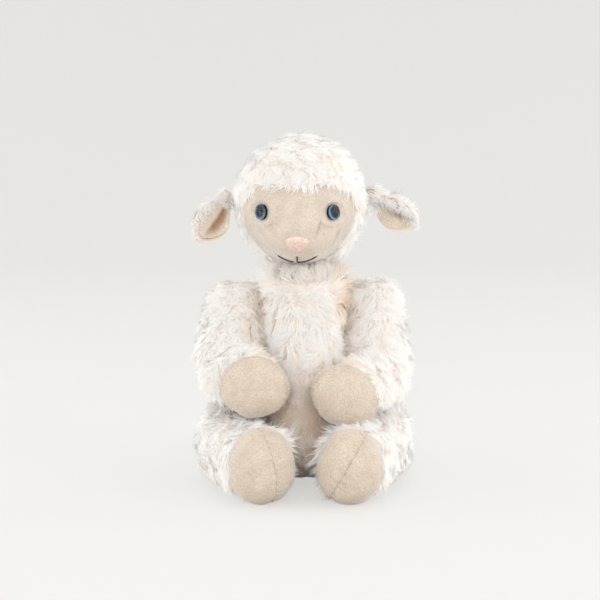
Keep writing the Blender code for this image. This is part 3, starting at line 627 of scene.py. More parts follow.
SEAT_RISE, SEAT_FRONT = 0.019, (-0.012, -0.03)
SEAT_SPREAD, SEAT_SIDES = 0.02, (1.6, -1.0)
torso = torso_loops(70, 120, SKIN_INSET)
rising = SEAT_RISE * risen(torso[..., 1], *SEAT_FRONT)
rising = rising * risen(np.abs(torso[..., 0]) / SEAT_SPREAD, *SEAT_SIDES)
torso[..., 2] = np.maximum(torso[..., 2], rising)
torso_skin = bag("torso_bag", torso, SKIN_LOOK)
place_in(torso_skin, "torso", "fur", "torso_cover", "torso_stuffing", "seat_bean_bag")
print("body bag points:", torso.size // 3)

# %% The body's fur
UNDER_SEAT, UNDER_SHARE = 0.003, 0.1
FLANK_X, FLANK_Y, FLANK_SHARE = 0.024, 0.03, 0.6
TORSO_FUR, NECK_LONGER, COLLAR_STANDS = 0.0095, 0.0045, 0.45
FLOW_SPREAD, NECK_UPTURN = 0.2, 1.6
COLLAR, NECK, GAP_BAND = (0.112, 0.012), (0.122, 0.006), (0.025, 0.004)
ARM_SIDE, ARM_FRONT, ARM_HEIGHT = (0.019, 0.005), 0.005, (0.05, 0.02)
NAPE_SIDE, NAPE_HEIGHT, NAPE_FRONT = (0.014, 0.006), (0.104, 0.01), 0.01
LEGS_HEIGHT, LEGS_SIDE = (0.09, -0.035), (0.030, -0.008)
# Painted shade: locks beside the arms, in the gap there, between the legs, under the chin and at the nape get
# a darker, warmer tone.
ARM_SHADE_TINT, GAP_SHADE_TINT, LEGS_SHADE_TINT, NECK_SHADE_TINT, NAPE_SHADE_TINT = 0.6, 0.3, 0.78, 0.3, 0.8


def torso_weight(p):
    """Few wisps under the seat, and fewer than elsewhere on the flanks under the arms."""
    flank = (np.abs(p[..., 0]) > FLANK_X) & (np.abs(p[..., 1]) < FLANK_Y)
    return np.where(p[..., 2] < UNDER_SEAT, UNDER_SHARE, np.where(flank, FLANK_SHARE, 1.0))


rng = np.random.default_rng(7)
rooted = scatter(torso, rng, torso_weight)
x, y, z = rooted[0].T
collar, neck = risen(z, *COLLAR), risen(z, *NECK)
down = np.stack([FLOW_SPREAD * x / TORSO_HALF_WIDTH, 0 * x, NECK_UPTURN * neck - 1], -1)
torso_lean = (0.85 - COLLAR_STANDS * collar, 1.5 - COLLAR_STANDS * collar)
beside_arms = risen(np.abs(x), *ARM_SIDE) * (y < ARM_FRONT) * risen(z, *ARM_HEIGHT)
# Painted shade: where the locks get a darker, warmer tone.
arm_shade = (ARM_SHADE_TINT + GAP_SHADE_TINT * risen(np.abs(x), *GAP_BAND)) * beside_arms
between_legs = risen(z, *LEGS_HEIGHT) * risen(np.abs(x), *LEGS_SIDE) * (y < 0)
left_nape = risen(x, *NAPE_SIDE) * risen(z, *NAPE_HEIGHT)
neck_shade = np.maximum(NECK_SHADE_TINT * neck, NAPE_SHADE_TINT * left_nape) * (y < NAPE_FRONT)
rooted = bent(rooted, 0.9 * beside_arms, (0, -1.0, 0))
grow_fur("torso_fur", "torso", rooted, down, TORSO_FUR + NECK_LONGER * neck * (y < 0), rng,
         lean=torso_lean, order=1, shade_tint=np.maximum.reduce([arm_shade, LEGS_SHADE_TINT * between_legs, neck_shade]))

# %% [markdown]
# ## Head
# The head is an egg with a muzzle. A short-pile face is let into the furry hood, wide at the
# cheeks and low on the forehead. Any point on it is a direction from the middle of the head times
# a reach, so the face, its seam, the eyes and the mouth can all be found from the same formula.

# %% The head as a reach in each direction
HEAD_CENTRE = np.array((-0.003, -0.002, 0.1789))
HEAD_HALF_WIDTH, HEAD_HALF_DEPTH, HEAD_RISE, HEAD_DROP = 0.0395, 0.040, 0.040, 0.041
JAW_TAPER = 0.04
MUZZLE = 0.013
MUZZLE_DROP, MUZZLE_SPREAD = math.radians(25), math.radians(28)
FACE_TILT, FACE_TOP, FACE_SIDE, FACE_BOTTOM = (math.radians(a) for a in (15, 33, 69, 64))
PILE = 0.003
HOOD_INSET = 0.0028


def head_reach(way):
    """Egg: one over the root of the squared shares, plus a bell of MUZZLE round the snout's way."""
    down = np.clip(-way[..., 2], 0, 1)
    wide = HEAD_HALF_WIDTH * (1 - JAW_TAPER * down**2)
    tall = np.where(way[..., 2] > 0, HEAD_RISE, HEAD_DROP)
    egg = (way[..., 0] / wide) ** 2 + (way[..., 1] / HEAD_HALF_DEPTH) ** 2 + (way[..., 2] / tall) ** 2
    snout = np.array((0.0, -math.cos(MUZZLE_DROP), -math.sin(MUZZLE_DROP)))
    off = np.arccos(np.clip(way @ snout, -1, 1))
    return egg**-0.5 + MUZZLE * np.exp(-((off / MUZZLE_SPREAD) ** 2))


def head_way(off, around):
    """Direction at an angle off the middle of the face, and an angle round it."""
    front = np.array((0.0, -math.cos(FACE_TILT), -math.sin(FACE_TILT)))
    up = np.array((0.0, -math.sin(FACE_TILT), math.cos(FACE_TILT)))
    across = np.array((1.0, 0.0, 0.0))
    off, around = np.broadcast_arrays(off, around)
    spoke = np.cos(around)[..., None] * across + np.sin(around)[..., None] * up
    return np.cos(off)[..., None] * front + np.sin(off)[..., None] * spoke


def face_edge(around):
    """Angle from the middle of the face to its seam."""
    up, low = np.clip(np.sin(around), 0, 1), np.clip(-np.sin(around), 0, 1)
    return FACE_SIDE - (FACE_SIDE - FACE_TOP) * up**1.5 - (FACE_SIDE - FACE_BOTTOM) * low**2


def face_point(x, z):
    """Point of the face at this place across and up, found by halving a span along Y."""
    side, rise = np.broadcast_arrays(x - HEAD_CENTRE[0], z - HEAD_CENTRE[2])
    near, far = np.zeros(side.shape), np.full(side.shape, 2 * HEAD_HALF_DEPTH)
    for _ in range(40):
        middle = (near + far) / 2
        line = np.stack([side, -middle, rise], axis=-1)
        length = np.linalg.norm(line, axis=-1)
        outside = length > head_reach(line / length[..., None])
        near, far = np.where(outside, near, middle), np.where(outside, middle, far)
    return HEAD_CENTRE + np.stack([side, -near, rise], axis=-1)


def face_normal(x, z):
    """The way the face looks at this place, from small steps across and up."""
    step = 0.00004
    across = face_point(x + step, z) - face_point(x - step, z)
    return unit(np.cross(across, face_point(x, z + step) - face_point(x, z - step)))


print("middle of the face:", face_point(HEAD_CENTRE[0], HEAD_CENTRE[2]).round(4))

# %% The hood bag
RIM_SHARE, RIM_DIP, HOOD_INSIDE = 0.12, 0.0006, 0.004
around = circle(200)[None, :]
edge = face_edge(around)
back_share = np.linspace(0, 1, 60)[:, None]
behind = edge + (math.pi - edge) * back_share
hood_way = head_way(behind, around)
rim = risen(back_share, 0.0, RIM_SHARE)
raised = (PILE - HOOD_INSET) * np.sin(rim * math.pi / 2) - RIM_DIP * (1 - rim)
hood_outer = HEAD_CENTRE + hood_way * (head_reach(hood_way) + raised)[..., None]
inside = np.linspace(1, 0, 12)[1:, None]
inner_way = head_way(edge * inside, around)
hood_inner = HEAD_CENTRE + inner_way * (head_reach(inner_way) - HOOD_INSIDE)[..., None]
hood = np.concatenate([hood_outer[::-1], hood_inner])
hood_skin = place_in(bag("head_hood_bag", hood, SKIN_LOOK), "head", "fur", "head_hood", "head_stuffing")
print("hood points:", hood.size // 3)

# %% The head's fur
CROWN = HEAD_CENTRE + np.array((0.0, 0.016, 0.043))
HEAD_FUR, SEAM_SPAN = 0.0088, 0.07
CHIN_BAND, BROW_BAND, CHEEK_BAND = (-0.010, -0.015), (0.012, -0.012), (0.0, 0.02)
LEFT_LONGER, RIGHT_SHORTER, CHIN_SHORTER = 0.005, 0.0035, 0.0015
JAW_LONGER, JAW_HEIGHT, JAW_SIDE = 0.0035, (-0.018, -0.01), (0.012, 0.01)
CREST_SHORTER, CREST_SIDE, CREST_HEIGHT = 0.003, (0.0, -0.01), (0.028, 0.008)
JOWL_HEIGHT, JOWL_SIDE, JOWL_BACK = (-0.014, -0.01), (0.014, 0.01), 0.5
INWARD_DEPTH, CHIN_DOWN, SEAM_INWARD = 0.04, 0.6, 2.5

rooted = scatter(hood_outer, rng)
from_seam = rooted[3] / (len(back_share) - 1)
place = rooted[0] - HEAD_CENTRE
aside, rise = place[:, 0], place[:, 2]
low = risen(rise, *CHIN_BAND)
near_seam = np.exp(-from_seam / SEAM_SPAN)
over_seam = near_seam * risen(rise, *BROW_BAND)
inward = unit(head_way(np.zeros(1), np.zeros(1)) * INWARD_DEPTH - place)
flow = unit(unit(rooted[0] - CROWN) - CHIN_DOWN * low[:, None] * np.array((0, 0, 1.0)))
flow = flow + SEAM_INWARD * over_seam[:, None] * inward
cheek = risen(aside, *CHEEK_BAND)
reach = HEAD_FUR + over_seam * (LEFT_LONGER * cheek - RIGHT_SHORTER * (1 - cheek))
reach = reach - CHIN_SHORTER * low * (1 - near_seam)
reach = reach + JAW_LONGER * near_seam * risen(rise, *JAW_HEIGHT) * risen(np.abs(aside), *JAW_SIDE)
reach = reach - CREST_SHORTER * risen(aside, *CREST_SIDE) * risen(rise, *CREST_HEIGHT)
jowl = risen(rise, *JOWL_HEIGHT) * risen(np.abs(aside), *JOWL_SIDE) * (from_seam < JOWL_BACK)
rooted = bent(rooted, np.maximum(1.4 * over_seam, 0.9 * jowl), (0, -1.0, 0.1))
head_lean = (1.05 - 0.15 * low - 0.4 * jowl, 1.55 - 0.1 * low * (1 - over_seam) - 0.25 * jowl)
grow_fur("head_fur", "head", rooted, flow, reach, rng, lean=head_lean)

# %% [markdown]
# ## Face
# The face is one panel of short pile. Its eyes are pulled in from behind, so the pile stands up
# round them, and two darts run from the eye towards the nose. Both are small moves along the
# surface's own way out: bells and valleys added to the reach.

# %% The face panel
EYE_X, EYE_HALF_SPACING, EYE_DROP = -0.0015, 0.0217, 0.0041
NOSE_X, NOSE_DROP = -0.0016, 0.023
MOUTH_DROP, MOUTH_HALF_WIDTH, MOUTH_LIFT, MOUTH_BREAK = 0.0367, 0.012, 0.0043, 0.0023
VELOUR = 0.0025
eye_places = {side: (HEAD_CENTRE[0] + EYE_X + sign * EYE_HALF_SPACING, HEAD_CENTRE[2] - EYE_DROP)
              for side, sign in SIDES.items()}


def segment_distance(points, start, end):
    """Distance across and up from a straight line between two places, and the share along it."""
    start, end = np.array(start), np.array(end)
    along = end - start
    share = np.clip(((points - start) @ along) / (along @ along), 0, 1)
    return np.linalg.norm(points - start - share[..., None] * along, axis=-1), share


DART_DEPTH, DART_WIDTH = 0.0010, 0.0006
DARTS = (((-0.006, -0.001), (-0.011, -0.0175)), ((0.006, -0.009), (0.001, -0.020)))
FINE_PILE, FINE_SIZE, PILE_PATCH, PATCH_SIZE = 0.00022, 0.0011, 0.0002, 0.004
SOCKET_RISE, SOCKET_RADIUS, SOCKET_WIDTH = 0.0018, 0.0072, 0.0022
SMILE_DEPTH, SMILE_WIDTH, SMILE_REACH = 0.0003, 0.0016, 1.1


def dart_share(points):
    """How deep two darts are at these points: bells across each line, fading at its ends."""
    eye = np.array(eye_places["left"])
    depth = 0.0
    for start, end in np.array(DARTS):
        away, share = segment_distance(points[..., (0, 2)], eye + start, eye + end)
        depth = depth + np.exp(-((away / DART_WIDTH) ** 2)) * np.sin(math.pi * np.clip(share, 0.02, 0.98))
    return depth


def face_relief(points):
    """Pile raised round the eyes, darts pressed in, and the fine unevenness of short pile."""
    flat = points[..., (0, 2)]
    relief = FINE_PILE * cloud(points, FINE_SIZE, 5) + PILE_PATCH * cloud(points, PATCH_SIZE, 6)
    for x, z in eye_places.values():
        away = np.linalg.norm(flat - np.array((x, z)), axis=-1)
        relief += SOCKET_RISE * np.exp(-((away - SOCKET_RADIUS) / SOCKET_WIDTH) ** 2)
    relief -= DART_DEPTH * dart_share(points)
    low = HEAD_CENTRE[2] - MOUTH_DROP
    across = points[..., 0] - HEAD_CENTRE[0] - NOSE_X
    smile = low + MOUTH_LIFT * (across / MOUTH_HALF_WIDTH) ** 2
    near = np.abs(across) < MOUTH_HALF_WIDTH * SMILE_REACH
    dent = SMILE_DEPTH * np.exp(-(((points[..., 2] - smile) / SMILE_WIDTH) ** 2))
    relief -= np.where(near, dent, 0)
    return relief * (points[..., 1] < HEAD_CENTRE[1])


TUCK_BAND, TUCK_DEPTH = (0.94, 0.06), 0.0012
off = edge * np.linspace(0, 1, 150)[:, None]
way = head_way(off, around)
face_outer = HEAD_CENTRE + way * head_reach(way)[..., None]
tuck = risen(off / edge, *TUCK_BAND)[..., None]
face_outer = face_outer + way * (face_relief(face_outer)[..., None] - TUCK_DEPTH * tuck**2)
back_way = head_way(edge * inside, around)
face_back = HEAD_CENTRE + back_way * (head_reach(back_way) - VELOUR)[..., None]
face = bag("face_pile_panel", np.concatenate([face_outer, face_back]), FACE_LOOK)
place_in(face, "head", "velour", "face_panel")
# The darts' depth, which the face pile reads to paint shade along them.
darts = np.zeros(len(face.data.vertices))
darts[1:1 + face_outer[1:].size // 3] = dart_share(face_outer[1:]).reshape(-1)
add_attribute(face, "fold", darts)
print("face points:", face_outer.size // 3)

# %% [markdown]
# ## Safety eyes
# A safety eye is a black plastic back with a stem, a blue ring, and a clear dome over both. Each
# part is a profile of radius and height, turned round the eye's own axis. Real domes bend light.
# Here the dome bends none, and its gloss is a clear coat, which keeps stray specks out of the eye.

# %% Profiles turned round an axis
EYE_SIDES = 48
EYE_BACK = ((0, 0.0024), (0.0031, 0.0024), (0.0033, 0.0022), (0.0033, 0.0013), (0.0047, 0.0013),
            (0.0049, 0.0011), (0.0049, 0.0003), (0.0016, 0.0003), (0.0016, -0.0066),
            (0.0012, -0.007), (0, -0.007))
EYE_RING = ((0.0034, 0.0016), (0.0048, 0.0016), (0.0048, 0.0024), (0.0034, 0.0024))
DOME_RADIUS, DOME_FOOT, DOME_RISE = 0.005, 0.0027, 0.0028
DOME_INSIDE = [(0.0049, 0.00265), (0, 0.00265)]
RING_TONES = ((0.74, (0.015, 0.022, 0.032)), (0.95, (0.08, 0.22, 0.36)), (0.86, (0.03, 0.09, 0.15)))
EYE_LOOK_ASIDE = np.array((0.0006, 0.0, 0.0005))


def turned(base, axis, profile, sides=EYE_SIDES):
    """Loops of a profile of radius and height, turned about an axis."""
    side = np.array((1.0, 0.0, 0.0)) if abs(axis[0]) < abs(axis[2]) else np.array((0.0, 0.0, 1.0))
    across = unit(np.cross(axis, side))
    up = np.cross(across, axis)
    angle = circle(sides)[:, None]
    spoke = np.cos(angle) * across + np.sin(angle) * up
    return np.stack([base + radius * spoke + height * axis for radius, height in profile])


print("corners of an eye's back:", len(EYE_BACK))

# %% Eyes
def ring_finish(side, base, axis):
    """Blue ring: slate inside, brighter blue at the rim, by distance from the eye's own axis."""
    material, nodes, links, shader = finish("eye_blue_" + side, (0.10, 0.22, 0.35), 0.25)
    place = nodes.new("ShaderNodeTexCoord").outputs["Object"]
    away = worked(nodes, links, "ShaderNodeVectorMath", "SUBTRACT", place, base + EYE_LOOK_ASIDE)
    across = worked(nodes, links, "ShaderNodeVectorMath", "CROSS_PRODUCT", away[0], axis)
    length = worked(nodes, links, "ShaderNodeVectorMath", "LENGTH", across[0])["Value"]
    share = worked(nodes, links, "ShaderNodeMath", "MULTIPLY", length, 1 / DOME_RADIUS)[0]
    links.new(colour_ramp(nodes, links, share, RING_TONES), shader.inputs["Base Color"])
    return material


for side, (x, z) in eye_places.items():
    base, axis = face_point(np.array(x), np.array(z)), face_normal(np.array(x), np.array(z))
    back = bag("eye_black_back_" + side, turned(base, axis, EYE_BACK), BLACK_LOOK)
    place_in(back, "head", "black_plastic", "eye_back_" + side)
    ring = hoop("eye_blue_ring_" + side, turned(base, axis, EYE_RING), ring_finish(side, base, axis))
    place_in(ring, "head", "iris_blue", "iris_ring_" + side)
    turn = np.linspace(0, math.pi / 2, 14)
    dome = [(DOME_RADIUS * math.sin(a), DOME_FOOT + DOME_RISE * math.cos(a)) for a in turn] + DOME_INSIDE
    lens = bag("eye_clear_dome_" + side, turned(base, axis, dome), LENS_LOOK)
    place_in(lens, "head", "clear_lens", "eye_lens_" + side)
    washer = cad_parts["eye_washer_" + side]
    washer.data.materials.clear()
    washer.data.materials.append(WASHER_LOOK)
print("eyes:", len(eye_places))

# %% [markdown]
# ## Nose and mouth
# The nose is satin stitch: threads side by side over a soft triangle. The mouth is a dark thread
# of two plies. A ripple across the pad makes the threads, and a turning bulge makes the plies.

# %% Nose
NOSE_HALF_WIDTH, NOSE_HALF_HEIGHT, NOSE_TAPER = 0.0092, 0.0048, 0.28
STITCH_SPACING, STITCH_SLANT, STITCH_RISE = 0.0005, 0.15, 0.00014
NOSE_FOOT, NOSE_RISE, NOSE_TUCK = 0.0002, 0.0009, (-0.0004, -0.0006, -0.0006)

nose_x, nose_z = HEAD_CENTRE[0] + NOSE_X, HEAD_CENTRE[2] - NOSE_DROP
angle = circle(96)[None, :]
share = np.concatenate([np.linspace(0, 1, 30), [1.0, 0.9, 0.0]])[:, None]
wide = NOSE_HALF_WIDTH * (1 - NOSE_TAPER * (1 - np.sin(angle)))
nose_px = nose_x + share * wide * np.cos(angle)
nose_pz = nose_z + share * NOSE_HALF_HEIGHT * np.sin(angle)
thread = STITCH_RISE * np.cos(2 * math.pi * (nose_px + STITCH_SLANT * nose_pz) / STITCH_SPACING)
swell = NOSE_FOOT + NOSE_RISE * (1 - np.clip(share, 0, 1) ** 4 * 0.75) + thread * (1 - share**6)
swell[-3:] = np.array(NOSE_TUCK)[:, None]
nose_loops = face_point(nose_px, nose_pz) + swell[..., None] * face_normal(nose_px, nose_pz)
place_in(bag("nose_satin", nose_loops, NOSE_LOOK), "head", "nose_thread", "nose_embroidery")
print("nose points:", swell.size)

# %% Mouth
THREAD_RADIUS, THREAD_SINK, THREAD_SIDES = 0.0004, 0.6, 10
PLIES, PLY_PITCH, PLY_BULGE = 2, 0.0016, 0.18
STROKE_TOP, STROKE_FOOT = 1.15, 0.06


def thread_tube(x, z):
    """A round tube along a line on the face, its radius bulging once per ply as it goes round."""
    route = face_point(x, z)
    ahead = unit(np.gradient(route, axis=0))
    out = face_normal(x, z)
    out = unit(out - (out * ahead).sum(-1, keepdims=True) * ahead)
    across = np.cross(ahead, out)
    route = route + out * THREAD_RADIUS * THREAD_SINK
    length = np.concatenate([[0], np.cumsum(np.linalg.norm(np.diff(route, axis=0), axis=1))])
    angle = circle(THREAD_SIDES)[None, :]
    bulge = 1 + PLY_BULGE * np.cos(PLIES * (angle - 2 * math.pi * length[:, None] / PLY_PITCH / PLIES))
    spoke = np.cos(angle)[..., None] * across[:, None] + np.sin(angle)[..., None] * out[:, None]
    loops = route[:, None] + (THREAD_RADIUS * bulge)[..., None] * spoke
    ends = [route[k][None, None].repeat(THREAD_SIDES, 1) for k in (0, -1)]
    return np.concatenate([ends[0], loops, ends[1]])


low = HEAD_CENTRE[2] - MOUTH_DROP
left = np.linspace(0, MOUTH_HALF_WIDTH, 70)
right = -np.linspace(MOUTH_BREAK, MOUTH_HALF_WIDTH, 70)
stroke = MOUTH_LIFT * np.linspace(STROKE_TOP, STROKE_FOOT, 24)
mouth = {"left": (np.concatenate([0 * stroke, left]),
                  np.concatenate([stroke, MOUTH_LIFT * (left / MOUTH_HALF_WIDTH) ** 2])),
         "right": (right, MOUTH_LIFT * (right / MOUTH_HALF_WIDTH) ** 2)}
for side, (x, z) in mouth.items():
    thread = bag("mouth_thread_" + side, thread_tube(nose_x + x, low + z), MOUTH_LOOK)
    place_in(thread, "head", "mouth_thread", "mouth_stitch_" + side)
print("mouth threads:", len(mouth))

# %% [markdown]
# ## Ears
# An ear is a cupped leaf of two sheets sewn together: fur behind, short pile in front. Along the
# leaf the half width grows and falls, and across it the sheet rises as the square of the share.

# %% Ear places
EAR_ROOT, EAR_LENGTH, EAR_HALF_WIDTH, EAR_CUP = 0.006, 0.033, 0.012, 0.0045
EAR_FUR, EAR_LINING = 0.0026, 0.0015
EAR_ROWS_SHARES = (
    (-0.19, 0.07), (-0.15, 0.30), (-0.075, 0.455), (0.0, 0.44), (0.18, 0.62), (0.36, 0.88),
    (0.55, 1.00), (0.76, 0.86), (0.91, 0.54), (1.00, 0.22),
)
EAR_BACK, EAR_GAP = 0.004, 0.0003
EAR_HEIGHT = {"left": 0.002, "right": 0.0005}
EAR_DROOP = {"left": math.radians(36), "right": math.radians(50)}
EAR_YAW = {"left": 0.0, "right": math.radians(37)}
EAR_ROLL = {"left": math.radians(32), "right": math.radians(21)}


def ear_frame(side):
    """Where the ear is sewn on, and its ways along, across and facing."""
    way = unit(np.array((SIDES[side] * HEAD_HALF_WIDTH, EAR_BACK, EAR_HEIGHT[side])))
    root = HEAD_CENTRE + way * (head_reach(way) + PILE + EAR_GAP + EAR_ROOT)
    droop, yaw, roll = EAR_DROOP[side], EAR_YAW[side], EAR_ROLL[side]
    along = np.array((SIDES[side] * math.cos(droop) * math.cos(yaw), -math.cos(droop) * math.sin(yaw),
                      -math.sin(droop)))
    ahead = np.array((0.0, -1.0, 0.0))
    flat = unit(ahead - (ahead @ along) * along)
    down = -SIDES[side] * np.cross(flat, along)
    facing = math.cos(roll) * flat + math.sin(roll) * down
    return root, along, np.cross(along, facing), facing


print("ear roots:", [ear_frame(side)[0].round(4).tolist() for side in SIDES])

# %% Ear sheets
EAR_COLUMNS, EAR_ROWS = 40, 48
EAR_FOLD, EAR_INSET, EAR_SLIM = 0.0032, 0.9, 0.55
EAR_VALLEY = {"left": -0.15, "right": -0.55}
EAR_VALLEY_RISE, VALLEY_WIDTH = {"left": 0.25, "right": 0.2}, 0.26
VALLEY_START, VALLEY_END = (0.0, 0.25), (1.0, -0.35)


def leaf_way(side):
    """1 where the leaf's across way goes up, and -1 where it goes down."""
    return 1.0 if ear_frame(side)[2][2] > 0 else -1.0


def leaf_shares(rows):
    """Shares along the leaf, from behind its root to its tip, and across it, closer at the edges."""
    place = np.sin(np.linspace(-1, 1, EAR_COLUMNS) * math.pi / 2)[None, :]
    return np.linspace(EAR_ROWS_SHARES[0][0], 1.0, rows)[:, None], place


def ear_sheet(side, low, high, share=1.0):
    """Loops round one sheet: its face at height high, then back at height low, cupped and folded."""
    root, along, across, facing = ear_frame(side)
    at, place = leaf_shares(EAR_ROWS)
    half = EAR_HALF_WIDTH * eased(EAR_ROWS_SHARES, 1, at) * share
    run = risen(at, *VALLEY_START) * risen(at, *VALLEY_END)
    off_valley = place * leaf_way(side) - EAR_VALLEY[side] - EAR_VALLEY_RISE[side] * at
    valley = EAR_FOLD * np.exp(-((off_valley / VALLEY_WIDTH) ** 2)) * run
    sheets = []
    for height in (high, low):
        lift = EAR_CUP * half / EAR_HALF_WIDTH * place**2 + height * (1 - EAR_SLIM * place**2) - valley
        sheets.append(root + (EAR_LENGTH * share * at)[..., None] * along + (half * place)[..., None] * across
                      + lift[..., None] * facing)
    loops = np.concatenate([sheets[0], sheets[1][:, ::-1]], axis=1)
    ends = [loops[k].mean(0)[None, None].repeat(loops.shape[1], 1) for k in (0, -1)]
    fold = np.concatenate([valley / EAR_FOLD] * 2, axis=1)
    return np.concatenate([ends[0], loops, ends[1]]), fold


def sew_ear(side):
    """The furry back and the lining of an ear, with the fold kept for the painted shade in the lining's fold.
    """
    body = "ear_" + side
    outer, _ = ear_sheet(side, -EAR_FUR, 0.0)
    skin = place_in(bag("ear_fur_bag_" + side, outer, SKIN_LOOK), body, "fur", "ear_outer_" + side)
    lining, fold = ear_sheet(side, EAR_GAP, EAR_GAP + EAR_LINING, EAR_INSET)
    sheet = place_in(bag("ear_pile_" + side, lining, LINING_LOOK), body, "velour", "ear_lining_" + side)
    add_attribute(sheet, "fold", np.concatenate([[0], fold.reshape(-1), [0]]))


print("ear grid:", EAR_ROWS, "by", EAR_COLUMNS)

# %% [markdown]
# ## Ear fur
# Fur grows on the whole back of an ear. In front it hangs over the root and the upper part, which
# hides the seam there. So the leaf's two faces get their roots in turn, each with its own shares.

# %% Ear fur
EAR_OVERHANG = {"left": 0.0, "right": 0.45}
EAR_ROOT_FUR = {"left": 0.15, "right": 0.1}
EAR_ROOT_REACH = {"left": 0.003, "right": 0.0}
EAR_TIP_TRIM = {"left": 0.001, "right": 0.003}
EAR_FUR_LENGTH, BARE_TIP, BARE_EDGE = 0.0068, 0.96, -0.6
TIP_BAND, BACK_TIP_BAND, BACK_TRIM = (0.4, 0.3), (0.75, 0.15), 0.6
EAR_DROP, ROOT_DROP = -0.4, 150
EAR_FLAT = {"left": 0.0, "right": 0.5}
OWN_NORMAL, OVERHANG_WAY = 0.3, np.array((0, -0.75, 0.65))


def ear_weights(side):
    """Shares of roots over the front and the back of the leaf, for the back fur and the overhang."""
    at, place = leaf_shares(EAR_ROWS + 2)
    place = place * leaf_way(side)
    haired = ((place > EAR_OVERHANG[side]) | (at < EAR_ROOT_FUR[side])) & (at < BARE_TIP)
    covered = np.where(haired, 1.0, 0.0)
    none = np.zeros_like(covered)
    low_edge = np.where((place[:, ::-1] < BARE_EDGE) | (at > BARE_TIP), 0.0, 1.0) + none
    edges = np.hstack([none + 1, low_edge])
    kinds = {"back": np.hstack([none, none + 1]), "overhang": np.hstack([covered, none])}
    return {kind: share[:-1] * edges[:-1] for kind, share in kinds.items()}


def grow_ear_fur(side):
    """Fur on the back, then the overhang in front, whose roots are turned up and to the front."""
    over, _ = ear_sheet(side, -EAR_FUR, EAR_GAP + EAR_LINING)
    for kind, weight in ear_weights(side).items():
        root, normal, along, row = scatter(over, rng, weight)
        if kind == "overhang":
            normal = unit(OWN_NORMAL * normal + OVERHANG_WAY)
        at = row / (EAR_ROWS + 1)
        to_tip = risen(at, *TIP_BAND)
        reach = EAR_FUR_LENGTH + EAR_ROOT_REACH[side] * (1 - to_tip) - EAR_TIP_TRIM[side] * to_tip
        flat = 0.0
        if kind == "back":
            reach = reach * (1 - BACK_TRIM * risen(at, *BACK_TIP_BAND))
            flat = EAR_FLAT[side]
        drop = EAR_DROP - ROOT_DROP * EAR_ROOT_REACH[side] * (1 - to_tip)
        droop = np.stack([0 * to_tip, 0 * to_tip, drop], -1)
        grow_fur(f"ear_{kind}_fur_{side}", "ear_" + side, (root, normal), along * 0.6 + droop, reach, rng,
                 lean=(0.7 + flat, 1.45), curl=0.8, swirl=0.7)


for side in SIDES:
    sew_ear(side)
    grow_ear_fur(side)

# %% [markdown]
# ## Arms and legs
# A limb is a furry tube from a round end at the seam to its pad. Stations give its centre, half
# width and half height, fair curves join them, and loops stand across the way between them.

# %% Limb sizes
GAP = 0.0003
ARM_FULLNESS = {"left": 0.1, "right": 0.3}
FLAT_TOP = {"left": -0.45, "right": 0.7}
LIMB_GAP = 0.0017
LIMB_PLANE = TORSO_HALF_WIDTH + LIMB_GAP
SHOULDER_RADIUS, SHOULDER_HEIGHT, SHOULDER_FORWARD = 0.0155, 0.112, 0.003
LIMB_FUR = 0.0095
PAW_HALF = np.array((0.022, 0.014, 0.0193))
PAW_X = {"left": 0.025, "right": 0.031}
PAW_LIFT = {"left": -0.0055, "right": 0.0}
PAW_ROLL = {"left": math.radians(30), "right": math.radians(-6)}
ARM_SHARES = ((0.00, 0.00, 0.00, 1.00, 1.00), (0.14, 0.36, 0.00, 1.08, 1.08), (0.29, 0.75, 0.00, 1.20, 1.16),
              (0.62, 0.96, 0.30, 1.15, 1.02), (0.84, 0.97, 0.62, 1.02, 0.95), (1.00, 0.97, 0.90, 0.88, 0.86))
LEG_HALF_WIDTH, LEG_HALF_HEIGHT, LEG_LENGTH = 0.0185, 0.0245, 0.066
LEG_TOE_IN, HIP_FORWARD = 0.0195, 0.008
LEG_SHARES = ((0.00, 0.00, 1.00, 1.00), (0.33, 0.00, 1.00, 0.98), (0.62, 0.40, 1.10, 0.89),
              (1.00, 0.90, 1.06, 0.86), (1.15, 1.05, 0.88, 0.78))
FOOT_HALF = np.array((0.0205, 0.0195, 0.024))
FOOT_AHEAD, FOOT_IN = 0.010, {"left": 0.002, "right": 0.004}
FOOT_TURN = {"left": math.radians(14), "right": math.radians(-2)}
SETTLE = 0.0005
HIP_HEIGHT = LEG_HALF_HEIGHT - SETTLE
LEG_TOP = HIP_HEIGHT + LEG_HALF_HEIGHT
print("top of the legs:", round(LEG_TOP, 4), "m")


# %% Limb bags
def limb_loops(stations, rows, columns, inset, floor=None):
    """Loops across the way through the stations, after a round end whose loops shrink as cosines."""
    table = np.array([[i, *centre, wide, tall] for i, (centre, wide, tall) in enumerate(stations)])
    at = np.linspace(0, len(stations) - 1, rows)
    centre = np.stack([eased(table, k, at) for k in (1, 2, 3)], axis=-1)
    size = np.stack([eased(table, k, at) for k in (4, 5)], axis=-1) - inset
    ahead = unit(np.gradient(centre, axis=0))
    turn = np.linspace(math.pi / 2, 0, 12)[:-1]
    dome = centre[0] - ahead[0] * (size[0, 0] * np.sin(turn))[:, None]
    centre = np.concatenate([dome, centre])
    size = np.concatenate([size[0] * np.cos(turn)[:, None], size])
    ahead = np.concatenate([np.repeat(ahead[:1], len(turn), 0), ahead])
    across = unit(np.array((1.0, 0.0, 0.0)) - ahead[:, :1] * ahead)
    over = np.cross(ahead, across)
    angle = circle(columns)[None, :, None]
    loops = centre[:, None] + size[:, None, :1] * np.cos(angle) * across[:, None]
    loops = loops + size[:, None, 1:] * np.sin(angle) * over[:, None]
    if floor is not None:
        loops[..., 2] = np.maximum(loops[..., 2], floor)
    return loops


def closed_end(loops):
    """Loops with one more at the end, shrunk to the middle of the last."""
    return np.concatenate([loops, loops[-1:].mean(1, keepdims=True).repeat(loops.shape[1], 1)])


